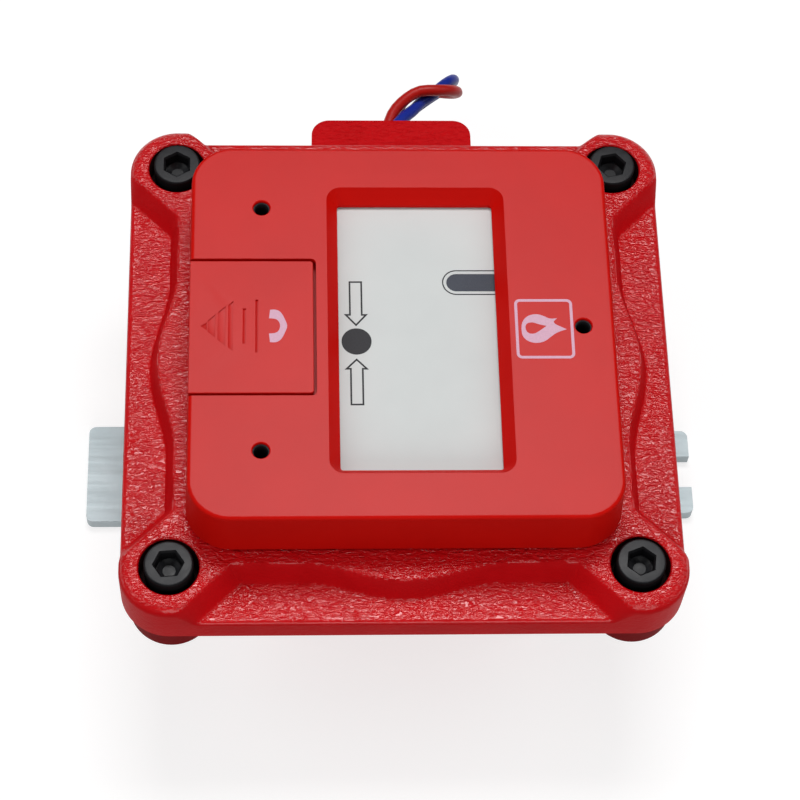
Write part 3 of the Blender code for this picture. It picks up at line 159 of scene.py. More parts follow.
# Printed signs: a flame in a frame on the cover, and a handset on the socket door
SIGN_CENTRE = (0.0291, -0.0007)
SIGN_HALF = (0.0060, 0.0070)
SIGN_FOOT = 0.0243
FLAME_UNIT = 0.00072
FLAME_OUTSIDE = ((0.0, -0.4), (0.3, 2.3), (2.0, 4.3), (4.6, 4.9), (6.8, 4.1), (8.2, 3.2), (10.4, 3.4),
                 (10.4, 3.4), (10.4, 3.4), (8.9, 1.9), (13.0, -0.2), (13.0, -0.2), (13.0, -0.2),
                 (10.2, -1.2), (8.4, -2.6), (6.6, -4.2), (4.2, -4.8), (1.8, -4.2), (0.3, -2.6))
FLAME_INSIDE = ((1.1, 0.2), (1.5, 1.7), (3.2, 2.2), (4.9, 1.5), (7.3, 0.9), (7.3, 0.9), (7.3, 0.9),
                (5.4, -0.6), (3.6, -1.8), (1.8, -1.5))
HANDSET = ((-0.0240, 0.0012), (-0.0236, 0.0), (-0.0240, -0.0012), (-0.0248, -0.0031), (-0.0259, -0.0039),
           (-0.0272, -0.0038), (-0.0272, -0.0038), (-0.0274, -0.0018), (-0.0274, -0.0018),
           (-0.0260, -0.0017), (-0.0253, -0.0010), (-0.0251, 0.0), (-0.0253, 0.0010), (-0.0260, 0.0017),
           (-0.0274, 0.0018), (-0.0274, 0.0018), (-0.0272, 0.0038), (-0.0272, 0.0038), (-0.0259, 0.0039),
           (-0.0248, 0.0031))

# Leads: the CAD route, along the middle of the twisted pair
LEAD_DIAMETER = 0.0027
PAIR_OFFSET = 0.00158
TWIST_PITCH = 0.033
TWIST_RUN_IN = 0.006
LEAD_TIP_LENGTH = 0.007
LEAD_ROUTE = (
    (0.0000, 0.0603, 0.0280),
    (0.0000, 0.0660, 0.0280),
    (0.0000, 0.0720, 0.0282),
    (0.0008, 0.0768, 0.0285),
    (0.0025, 0.0807, 0.0287),
    (0.0051, 0.0837, 0.0288),
    (0.0080, 0.0862, 0.0289),
    (0.0113, 0.0873, 0.0290),
    (0.0141, 0.0890, 0.0280),
    (0.0159, 0.0910, 0.0260),
    (0.0164, 0.0930, 0.0234),
    (0.0156, 0.0946, 0.0206),
    (0.0135, 0.0955, 0.0181),
    (0.0105, 0.0956, 0.0163),
    (0.0075, 0.0950, 0.0146),
    (0.0052, 0.0942, 0.0124),
    (0.0032, 0.0932, 0.0099),
    (-0.0004, 0.0910, 0.0068),
    (-0.0044, 0.0889, 0.0049),
    (-0.0093, 0.0866, 0.0037),
    (-0.0149, 0.0838, 0.0032),
    (-0.0209, 0.0804, 0.0031),
    (-0.0269, 0.0764, 0.0031),
    (-0.0327, 0.0723, 0.0031),
    (-0.0385, 0.0681, 0.0031),
    (-0.0441, 0.0636, 0.0031),
)

PIECES = bpy.data.collections.new("dressing")
bpy.context.scene.collection.children.link(PIECES)


def add_camera():
    data = bpy.data.cameras.new("photo_camera")
    data.lens = CAMERA_LENS
    data.sensor_width = SENSOR
    data.clip_start = 0.01
    camera = bpy.data.objects.new("photo_camera", data)
    bpy.context.scene.collection.objects.link(camera)
    back = -Vector(CAMERA_FORWARD).normalized()
    right = Vector(CAMERA_RIGHT)
    right = (right - back * right.dot(back)).normalized()
    up = back.cross(right)
    turn = Matrix((right, up, back)).transposed().to_4x4()
    camera.matrix_world = Matrix.Translation(CAMERA_AT) @ turn
    bpy.context.scene.camera = camera


class Nodes:
    """Short-hand for building one material's node tree."""

    def __init__(self, name):
        self.material = bpy.data.materials.new(name)
        self.material.use_nodes = True
        self.tree = self.material.node_tree
        self.shader = self.tree.nodes["Principled BSDF"]
        self.place = self.add("ShaderNodeTexCoord").outputs["Object"]

    def add(self, kind, **settings):
        node = self.tree.nodes.new(kind)
        for key, value in settings.items():
            setattr(node, key, value)
        return node

    def link(self, source, target):
        self.tree.links.new(source, target)

    def set(self, **values):
        for key, value in values.items():
            self.shader.inputs[key.replace("_", " ").title().replace("Ior", "IOR")].default_value = value

    def noise(self, scale, detail=2.0, roughness=0.5, distortion=0.0, vector=None):
        node = self.add("ShaderNodeTexNoise")
        node.inputs["Scale"].default_value = scale
        node.inputs["Detail"].default_value = detail
        node.inputs["Roughness"].default_value = roughness
        node.inputs["Distortion"].default_value = distortion
        self.link(vector or self.place, node.inputs["Vector"])
        return node.outputs["Fac"]

    def stretched(self, scale):
        node = self.add("ShaderNodeMapping")
        node.inputs["Scale"].default_value = scale
        self.link(self.place, node.inputs["Vector"])
        return node.outputs["Vector"]

    def ramp(self, factor, stops):
        """stops: (position, value or colour) pairs."""
        node = self.add("ShaderNodeValToRGB")
        band = node.color_ramp
        while len(band.elements) < len(stops):
            band.elements.new(0.5)
        for element, (position, value) in zip(band.elements, stops):
            element.position = position
            element.color = (*value, 1.0) if isinstance(value, tuple) else (value, value, value, 1.0)
        self.link(factor, node.inputs["Fac"])
        return node.outputs["Color"]

    def maths(self, operation, first, second):
        node = self.add("ShaderNodeMath", operation=operation)
        for socket, value in zip(node.inputs, (first, second)):
            if isinstance(value, (int, float)):
                socket.default_value = value
            else:
                self.link(value, socket)
        return node.outputs["Value"]

    def attribute(self, name):
        return self.add("ShaderNodeAttribute", attribute_name=name).outputs["Fac"]

    def bump(self, height, distance, strength=1.0, after=None):
        node = self.add("ShaderNodeBump")
        node.inputs["Distance"].default_value = distance
        self.link(height, node.inputs["Height"])
        if isinstance(strength, (int, float)):
            node.inputs["Strength"].default_value = strength
        else:
            self.link(strength, node.inputs["Strength"])
        if after is not None:
            self.link(after, node.inputs["Normal"])
        return node.outputs["Normal"]

    def use(self, colour=None, roughness=None, normal=None):
        for source, socket in ((colour, "Base Color"), (roughness, "Roughness"), (normal, "Normal")):
            if source is not None:
                self.link(source, self.shader.inputs[socket])
        return self.material


def cast_paint(name, rough, gloss):
    """Thick paint that has drawn up into small wrinkles on the casting's rough faces."""
    make = Nodes(name)
    drift = make.noise(160.0, 2.0, 0.5, 0.0)
    wrinkle = make.noise(1.0, 2.0, 0.5, 0.8, make.stretched((560.0, 1350.0, 900.0)))
    fine = make.noise(2300.0, 2.0, 0.5, 0.3)
    grain = make.attribute("grain")
    height = make.ramp(wrinkle, ((0.32, 0.0), (0.68, 1.0)))
    colour = make.ramp(drift, ((0.30, (0.560, 0.0036, 0.0062)), (0.70, (0.615, 0.0045, 0.0078))))
    normal = make.bump(height, 0.00019, grain)
    normal = make.bump(fine, 0.00003, grain, normal)
    make.shader.inputs["Specular IOR Level"].default_value = gloss
    return make.use(colour, make.ramp(fine, ((0.2, rough[0]), (0.8, rough[1]))), normal)


def moulded(name, dark, light, rough=(0.40, 0.50), scale=5200.0, depth=0.00003, gloss=0.26):
    """Satin moulded plastic: a faint cloudiness and a fine mould grain."""
    make = Nodes(name)
    cloud = make.noise(60.0, 3.0, 0.55)
    grain = make.noise(scale, 2.0, 0.6)
    colour = make.ramp(cloud, ((0.30, dark), (0.70, light)))
    roughness = make.ramp(grain, ((0.25, rough[0]), (0.75, rough[1])))
    make.shader.inputs["Specular IOR Level"].default_value = gloss
    return make.use(colour, roughness, make.bump(grain, depth, 0.6))


def metal(name, dark, light, rough=(0.28, 0.42), stretch=(60.0, 900.0, 900.0), depth=0.00002, shine=1.0):
    """Bare or plated metal with a drawn grain and a cloudy tone."""
    make = Nodes(name)
    streak = make.noise(1.0, 3.0, 0.6, 0.0, make.stretched(stretch))
    cloud = make.noise(140.0, 3.0, 0.6, 0.4)
    colour = make.ramp(cloud, ((0.28, dark), (0.72, light)))
    roughness = make.ramp(streak, ((0.25, rough[0]), (0.75, rough[1])))
    make.set(metallic=shine)
    return make.use(colour, roughness, make.bump(streak, depth, 0.7))


def black_oxide():
    make = Nodes("black_oxide")
    cloud = make.noise(420.0, 4.0, 0.6, 0.3)
    fine = make.noise(5200.0, 2.0, 0.6)
    colour = make.ramp(cloud, ((0.30, (0.010, 0.010, 0.012)), (0.72, (0.022, 0.023, 0.026))))
    roughness = make.ramp(cloud, ((0.25, 0.32), (0.75, 0.46)))
    make.shader.inputs["Specular IOR Level"].default_value = 0.22
    return make.use(colour, roughness, make.bump(fine, 0.00002, 0.5))


def printed(name, colour, rough=0.5):
    """Screen-printed ink: slightly uneven in tone."""
    make = Nodes(name)
    cloud = make.noise(2400.0, 3.0, 0.6)
    low = tuple(channel * 0.88 for channel in colour)
    make.set(roughness=rough)
    make.shader.inputs["Specular IOR Level"].default_value = 0.15
    return make.use(make.ramp(cloud, ((0.30, low), (0.70, colour))), None, make.bump(cloud, 0.00001, 0.4))


def clear_plastic():
    make = Nodes("clear_acrylic")
    make.set(base_color=(0.90, 0.93, 0.95, 1.0), transmission_weight=0.85, ior=1.49)
    rough = make.ramp(make.noise(900.0), ((0.3, 0.04), (0.7, 0.10)))
    return make.use(None, rough)


def circuit_laminate():
    """Solder mask with copper tracks showing as paler bands."""
    make = Nodes("circuit_laminate")
    tracks = make.add("ShaderNodeTexBrick", offset=0.37)
    tracks.inputs["Scale"].default_value = 260.0
    tracks.inputs["Mortar Size"].default_value = 0.06
    tracks.inputs["Color1"].default_value = (0.012, 0.11, 0.042, 1.0)
    tracks.inputs["Color2"].default_value = (0.014, 0.13, 0.05, 1.0)
    tracks.inputs["Mortar"].default_value = (0.03, 0.21, 0.08, 1.0)
    make.link(make.place, tracks.inputs["Vector"])
    rough = make.ramp(make.noise(1200.0), ((0.3, 0.30), (0.7, 0.42)))
    return make.use(tracks.outputs["Color"], rough, make.bump(tracks.outputs["Fac"], 0.00003, 0.5))


COARSE_GRAIN = 2600.0
SLOTS = {
    "cast_red": cast_paint("cast_paint", (0.13, 0.22), 0.42),
    "plastic_red": moulded("cover_plastic", (0.56, 0.0040, 0.0022), (0.60, 0.0050, 0.0028), (0.36, 0.45)),
    "black_steel": black_oxide(),
    "zinc": metal("zinc_plate", (0.37, 0.43, 0.45), (0.43, 0.49, 0.51), (0.46, 0.54), shine=0.7),
    "plate_white": moulded("plate_white", (0.615, 0.645, 0.640), (0.645, 0.675, 0.668), (0.42, 0.52)),
    "smoked": moulded("smoked_window", (0.046, 0.052, 0.070), (0.066, 0.074, 0.096), (0.22, 0.32),
                      gloss=0.10),
    "rubber": moulded("black_rubber", (0.016, 0.016, 0.017), (0.026, 0.026, 0.027), (0.62, 0.80),
                      COARSE_GRAIN, 0.00006),
    "steel": metal("plain_steel", (0.46, 0.46, 0.47), (0.60, 0.60, 0.61)),
    "brass": metal("turned_brass", (0.62, 0.42, 0.14), (0.74, 0.54, 0.22)),
    "board_green": circuit_laminate(),
    "dark_plastic": moulded("dark_plastic", (0.024, 0.024, 0.028), (0.034, 0.034, 0.039)),
    "cream_plastic": moulded("cream_plastic", (0.66, 0.61, 0.50), (0.72, 0.68, 0.57)),
    "led_red": moulded("lamp_red", (0.60, 0.02, 0.015), (0.72, 0.03, 0.02), (0.10, 0.18)),
    "clear_plastic": clear_plastic(),
    "lead_red": moulded("lead_red_pvc", (0.46, 0.007, 0.004), (0.54, 0.010, 0.006), (0.34, 0.46),
                        COARSE_GRAIN, 0.00005),
    "lead_blue": moulded("lead_blue_pvc", (0.005, 0.019, 0.26), (0.008, 0.028, 0.33), (0.34, 0.46),
                         COARSE_GRAIN, 0.00005),
    "copper": metal("bare_copper", (0.66, 0.29, 0.15), (0.80, 0.40, 0.23)),
}
CAST_SATIN = cast_paint("cast_satin", (0.42, 0.54), 0.05)
# Darker red on the lugs' sides and feet: painted shade where the lugs sit under the flange.
LUG_SHADE = moulded("lug_painted_shade", (0.19, 0.0020, 0.0036), (0.23, 0.0026, 0.0044), (0.50, 0.62), gloss=0.03)
# Near-black in the screw wells: painted shade in the recesses round the heads.
WELL_SHADE = moulded("well_painted_shade", (0.016, 0.005, 0.005), (0.024, 0.007, 0.007), (0.50, 0.62), gloss=0.05)
PLASTIC_SATIN = moulded("cover_sides", (0.58, 0.0036, 0.0016), (0.62, 0.0044, 0.0020), (0.50, 0.60),
                        gloss=0.05)
# A darker, duller copy of the black oxide for the heads' sides: painted shade.
SCREW_SIDE_SHADE = moulded("screw_sides_shade", (0.006, 0.006, 0.007), (0.010, 0.010, 0.011), (0.50, 0.60), gloss=0.06)
DARK_INK = printed("dark_ink", (0.040, 0.040, 0.045))
PINK_INK = printed("pink_ink", (0.76, 0.45, 0.58))
SLOT_OF = {part["node"]: part["material_slot"] for part in frame["record"]["subparts"]}


def add_object(name, mesh):
    item = bpy.data.objects.new(name, mesh)
    PIECES.objects.link(item)
    return item


def mesh_from(edit, name):
    mesh = bpy.data.meshes.new(name)
    edit.to_mesh(mesh)
    edit.free()
    return mesh


def shade(item, degrees=32.0):
    item.data.shade_smooth()
    item.data.set_sharp_from_angle(angle=math.radians(degrees))
    return item


def settle(item):
    """Make a piece's modifiers part of its mesh."""
    depsgraph = bpy.context.evaluated_depsgraph_get()
    mesh = bpy.data.meshes.new_from_object(item.evaluated_get(depsgraph))
    old = item.data
    item.modifiers.clear()
    item.data = mesh
    if old.users == 0 and isinstance(old, bpy.types.Mesh):
        bpy.data.meshes.remove(old)
    return item


def combine(item, operation, tools):
    for tool in tools:
        step = item.modifiers.new(tool.name, 'BOOLEAN')
        step.operation = operation
        step.object = tool
        step.solver = 'EXACT'
    settle(item)
    for tool in tools:
        bpy.data.objects.remove(tool, do_unlink=True)
    return item


def cut(item, *tools):
    return combine(item, 'DIFFERENCE', tools)


def join(item, *tools):
    return combine(item, 'UNION', tools)


def soften(item, width, segments=2, degrees=30.0):
    """Round off the piece's sharp edges."""
    edit = bmesh.new()
    edit.from_mesh(item.data)
    bmesh.ops.remove_doubles(edit, verts=edit.verts, dist=0.000002)
    bmesh.ops.dissolve_limit(edit, angle_limit=math.radians(1.0), verts=edit.verts, edges=edit.edges)
    edit.to_mesh(item.data)
    edit.free()
    item.data.shade_smooth()
    step = item.modifiers.new("edges", 'BEVEL')
    step.width = width
    step.segments = segments
    step.limit_method = 'ANGLE'
    step.angle_limit = math.radians(degrees)
    step.use_clamp_overlap = True
    return even_shading(settle(item))


def even_shading(item, degrees=32.0):
    """Smooth shading that large flat faces keep flat."""
    shade(item, degrees)
    step = item.modifiers.new("normals", 'WEIGHTED_NORMAL')
    step.keep_sharp = True
    return settle(item)


def dress(item, node, slot=None, body=None):
    """Give a piece its finish and its body; with a node's name, it stands for that node."""
    slot = slot or SLOT_OF[node]
    item.data.materials.clear()
    item.data.materials.append(SLOTS[slot])
    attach(item, body or BODY_OF[node])
    if node:
        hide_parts(node)
    return item


BODY_OF = {node: body for body, group in frame["record"]["behaviour"]["bodies"].items() for node in group}


def second_look(item, look, chosen):
    """Give the faces that a test picks another material."""
    item.data.materials.append(look)
    place = len(item.data.materials) - 1
    for face in item.data.polygons:
        if chosen(face):
            face.material_index = place


def arc(centre, radius, start, end, steps):
    turn = math.radians(end - start)
    first = math.radians(start)
    return [(centre[0] + radius * math.cos(first + turn * k / steps),
             centre[1] + radius * math.sin(first + turn * k / steps)) for k in range(steps + 1)]


def circle(centre, radius, steps=48):
    return arc(centre, radius, 0, 360 - 360 / steps, steps - 1)


def rounded_rectangle(half_x, half_y, radius, centre=(0.0, 0.0), steps=12):
    points = []
    for (sign_x, sign_y), start in zip(((1, 1), (-1, 1), (-1, -1), (1, -1)), (0, 90, 180, 270)):
        middle = (centre[0] + sign_x * (half_x - radius), centre[1] + sign_y * (half_y - radius))
        points += arc(middle, radius, start, start + 90, steps)
    return points


def loft(name, levels):
    """A closed solid through outlines with as many points each: (outline, z) from the bottom up."""
    edit = bmesh.new()
    rings = [[edit.verts.new((x, y, z)) for x, y in outline] for outline, z in levels]
    count = len(rings[0])
    for lower, upper in zip(rings, rings[1:]):
        for k in range(count):
            following = (k + 1) % count
            edit.faces.new((lower[k], lower[following], upper[following], upper[k]))
    edit.faces.new(list(reversed(rings[0])))
    edit.faces.new(rings[-1])
    return shade(add_object(name, mesh_from(edit, name)))


def prism(name, outline, low_z, high_z):
    return loft(name, [(outline, low_z), (outline, high_z)])


def box(name, low, high):
    outline = [(low[0], low[1]), (high[0], low[1]), (high[0], high[1]), (low[0], high[1])]
    return prism(name, outline, low[2], high[2])


def sheet(name, outlines, low_z, high_z):
    """A flat sheet from a closed outline and any holes in it."""
    curve = bpy.data.curves.new(name, 'CURVE')
    curve.dimensions = '2D'
    curve.fill_mode = 'BOTH'
    curve.extrude = (high_z - low_z) / 2
    for outline in outlines:
        spline = curve.splines.new('POLY')
        spline.points.add(len(outline) - 1)
        spline.use_cyclic_u = True
        for point, (x, y) in zip(spline.points, outline):
            point.co = (x, y, 0.0, 1.0)
    guide = bpy.data.objects.new(name + "_curve", curve)
    PIECES.objects.link(guide)
    mesh = bpy.data.meshes.new_from_object(guide.evaluated_get(bpy.context.evaluated_depsgraph_get()))
    bpy.data.objects.remove(guide, do_unlink=True)
    edit = bmesh.new()
    edit.from_mesh(mesh)
    bmesh.ops.remove_doubles(edit, verts=edit.verts, dist=0.000001)
    bmesh.ops.translate(edit, vec=(0.0, 0.0, (low_z + high_z) / 2), verts=edit.verts)
    bmesh.ops.recalc_face_normals(edit, faces=edit.faces)
    edit.to_mesh(mesh)
    edit.free()
    mesh.materials.clear()
    return shade(add_object(name, mesh))


def turned(name, profile, at, steps=64, closed=False):
    """A turned piece: (radius, z) points from the top of its axis, down its outer side, to the bottom."""
    edit = bmesh.new()
    rings = []
    for radius, z in profile:
        if radius < 1e-7:
            rings.append([edit.verts.new((at[0], at[1], at[2] + z))])
        else:
            rings.append([edit.verts.new((x, y, at[2] + z)) for x, y in circle(at, radius, steps)])
    pairs = list(zip(rings, rings[1:]))
    if closed:
        pairs.append((rings[-1], rings[0]))
    for upper, lower in pairs:
        for k in range(steps):
            following = (k + 1) % steps
            corners = [upper[k % len(upper)], lower[k % len(lower)], lower[following % len(lower)],
                       upper[following % len(upper)]]
            edit.faces.new(list(dict.fromkeys(corners)))
    bmesh.ops.recalc_face_normals(edit, faces=edit.faces)
    return shade(add_object(name, mesh_from(edit, name)))


def rounded_profile(corners, radius, steps=4):
    """Rounds the corners of a turned piece's profile, apart from its two ends."""
    points = [corners[0]]
    for before, corner, after in zip(corners, corners[1:], corners[2:]):
        first = Vector(before) - Vector(corner)
        second = Vector(after) - Vector(corner)
        size = min(radius, first.length * 0.45, second.length * 0.45)
        start = Vector(corner) + first.normalized() * size
        end = Vector(corner) + second.normalized() * size
        for k in range(steps + 1):
            t = k / steps
            points.append(tuple(start * (1 - t) ** 2 + Vector(corner) * 2 * t * (1 - t) + end * t ** 2))
    return points + [corners[-1]]


def smooth_route(route, spacing):
    """Evenly spaced points on a smooth curve through the route's own points."""
    fine = 12
    knots = [Vector(point) for point in route]
    knots = [knots[0] * 2 - knots[1]] + knots + [knots[-1] * 2 - knots[-2]]
    dense = []
    for a, b, c, d in zip(knots, knots[1:], knots[2:], knots[3:]):
        for k in range(fine):
            t = k / fine
            dense.append(0.5 * (2 * b + (c - a) * t + (2 * a - 5 * b + 4 * c - d) * t ** 2
                                + (3 * b - a - 3 * c + d) * t ** 3))
    dense.append(knots[-2])
    lengths = [0.0]
    for first, second in zip(dense, dense[1:]):
        lengths.append(lengths[-1] + (second - first).length)
    steps = max(2, round(lengths[-1] / spacing))
    points = []
    span = 0
    for k in range(steps + 1):
        goal = lengths[-1] * k / steps
        while span < len(dense) - 2 and lengths[span + 1] < goal:
            span += 1
        share = (goal - lengths[span]) / (lengths[span + 1] - lengths[span])
        points.append(dense[span].lerp(dense[span + 1], min(share, 1.0)))
    return points


def twisted(points, phase):
    """One lead of a pair that winds round the route's middle."""
    side = Vector((1.0, 0.0, 0.0))
    travelled = 0.0
    lead = []
    for k, point in enumerate(points):
        ahead = points[min(k + 1, len(points) - 1)]
        behind = points[max(k - 1, 0)]
        direction = (ahead - behind).normalized()
        side = (side - direction * side.dot(direction)).normalized()
        across = direction.cross(side)
        travelled += (point - behind).length
        turn = phase + 2 * math.pi * max(travelled - TWIST_RUN_IN, 0.0) / TWIST_PITCH
        lead.append(point + (side * math.cos(turn) + across * math.sin(turn)) * PAIR_OFFSET)
    return lead


def path_curve(name, points, diameter, sides=6):
    curve = bpy.data.curves.new(name, 'CURVE')
    curve.dimensions = '3D'
    curve.bevel_depth = diameter / 2
    curve.bevel_resolution = sides
    curve.use_fill_caps = True
    spline = curve.splines.new('POLY')
    spline.points.add(len(points) - 1)
    for point, place in zip(spline.points, points):
        point.co = (*place, 1.0)
    spline.use_smooth = True
    return add_object(name, curve)


def bare_strands(name, start, direction, length):
    """The stripped end of a lead: seven strands with a slight lay."""
    side = direction.cross(Vector((0.0, 0.0, 1.0))).normalized()
    across = direction.cross(side)
    edit = bmesh.new()
    for strand in range(7):
        offset = 0.0 if strand == 0 else 0.00046
        points = []
        for k in range(9):
            turn = 2 * math.pi * (strand / 6 + 0.5 * k / 8)
            points.append(start + direction * (0.0003 + (length - 0.0003) * k / 8)
                          + (side * math.cos(turn) + across * math.sin(turn)) * offset)
        guide = path_curve(name + "_strand", points, 0.00046, 2)
        mesh = bpy.data.meshes.new_from_object(guide.evaluated_get(bpy.context.evaluated_depsgraph_get()))
        edit.from_mesh(mesh)
        bpy.data.objects.remove(guide, do_unlink=True)
    bmesh.ops.remove_doubles(edit, verts=edit.verts, dist=0.0000005)
    bmesh.ops.recalc_face_normals(edit, faces=edit.faces)
    return shade(add_object(name, mesh_from(edit, name)), 50.0)


def add_leads():
    middle = smooth_route(LEAD_ROUTE, 0.0016)
    direction = (middle[-1] - middle[-2]).normalized()
    for colour, phase in (("red", 0.0), ("blue", math.pi)):
        points = twisted(middle, phase)
        node = f"{colour}_lead"
        lead = dress(path_curve(f"{colour}_flying_lead", points, LEAD_DIAMETER), node)
        strands = bare_strands(f"{colour}_bare_end", points[-1], direction, LEAD_TIP_LENGTH)
        tip = dress(strands, f"{node}_tip")


def ridge_outline(valley, edge, neck):
    """Outline of the lid's raised part at one level: a wave along each side and a lobe round each screw."""
    reach = neck * math.sqrt(2)
    turn_in = valley - reach
    turn_out = edge - reach
    slant = RIDGE_CORNER / math.sqrt(2)
    side = [(turn_out + slant, edge), (turn_out, edge), (turn_out - slant, edge - slant)]
    side += [(turn_in + slant, valley + slant), (turn_in, valley), (turn_in - RIDGE_CORNER, valley)]
    for k in range(41):
        along = WAVE_HALF_LENGTH * (1 - 2 * k / 40)
        swell = RIDGE_WAVE * (1 + math.cos(math.pi * along / WAVE_HALF_LENGTH)) / 2
        side.append((along, valley + swell))
    side += [(-x, y) for x, y in reversed(side[:6])]
    lobe = arc((SCREW_HALF, SCREW_HALF), edge - SCREW_HALF, 0, 90, 16)
    points = []
    for cosine, sine in ((1, 0), (0, 1), (-1, 0), (0, -1)):
        points += [(x * cosine - y * sine, x * sine + y * cosine) for x, y in lobe + side]
    for _ in range(2):
        points = [(a[0] * (1 - t) + b[0] * t, a[1] * (1 - t) + b[1] * t)
                  for a, b in zip(points, points[1:] + points[:1]) for t in (0.25, 0.75)]
    return np.array(points)


def signed_distance(places, outline):
    """Distance of each place from the outline, positive inside it."""
    start = outline
    end = np.roll(outline, -1, axis=0)
    span = end - start
    square = np.maximum((span ** 2).sum(1), 1e-18)
    nearest = np.full(len(places), np.inf)
    inside = np.zeros(len(places), dtype=bool)
    for first, along, size, last in zip(start, span, square, end):
        offset = places - first
        share = np.clip(offset @ along / size, 0.0, 1.0)
        gap = offset - share[:, None] * along
        nearest = np.minimum(nearest, (gap ** 2).sum(1))
        crosses = (first[1] > places[:, 1]) != (last[1] > places[:, 1])
        if abs(along[1]) > 1e-15:
            at = first[0] + along[0] * (places[:, 1] - first[1]) / along[1]
            inside ^= crosses & (places[:, 0] < at)
    return np.where(inside, 1.0, -1.0) * np.sqrt(nearest)


def ridge_lines():
    """The upper and the lower line of the ridge's slope."""
    edge = LID_HALF + RIDGE_PAST_EDGE
    run = RIDGE_VALLEY_FOOT - RIDGE_VALLEY_TOP
    return (ridge_outline(RIDGE_VALLEY_TOP, edge, RIDGE_NECK_TOP),
            ridge_outline(RIDGE_VALLEY_FOOT, edge + run, RIDGE_NECK_FOOT))


def ridge_share(places):
    """How far up the ridge each place is: 0 on the ledge and 1 on top."""
    upper, lower = ridge_lines()
    above = signed_distance(places, upper)
    below = signed_distance(places, lower)
    span = np.maximum(below - above, 1e-9)
    ramp = np.where(above >= 0, 1.0, np.where(below <= 0, 0.0, np.clip(below / span, 0.0, 1.0)))
    eased = ramp * ramp * (3 - 2 * ramp)
    return 0.8 * ramp + 0.2 * eased


def lid_loop(inset):
    """One line round the lid at a distance from its edge; it ends on the octagonal opening."""
    arm = LOBE_RADIUS - 0.0006
    radius = LOBE_RADIUS - min(inset, arm)
    half = SCREW_HALF + radius
    points = []
    for quarter in range(4):
        corner = arc((SCREW_HALF, SCREW_HALF), radius, 0, 90, CORNER_POINTS)
        straight = [(SCREW_HALF * (1 - 2 * k / SIDE_POINTS), half) for k in range(1, SIDE_POINTS)]
        cosine, sine = ((1, 0), (0, 1), (-1, 0), (0, -1))[quarter]
        points += [(x * cosine - y * sine, x * sine + y * cosine) for x, y in corner + straight]
    points = np.array(points)
    if inset > arm:
        size = np.linalg.norm(points, axis=1)
        heading = np.abs(points) / size[:, None]
        reach = np.minimum(OPENING_HALF / heading.max(1), OPENING_SUM / heading.sum(1))
        share = (inset - arm) / (LID_HALF - OPENING_HALF - arm)
        points = points * (1 - share) + points / size[:, None] * reach[:, None] * share
    return points


def in_well(face):
    """Tells whether a face of the lid lies in one of the screws' wells."""
    place = (abs(face.center.x), abs(face.center.y))
    near = math.dist(place, (SCREW_HALF, SCREW_HALF)) < COUNTERBORE_RADIUS + 0.0001
    return near and face.center.z < LID_TOP - WELL_DEPTH_SEEN


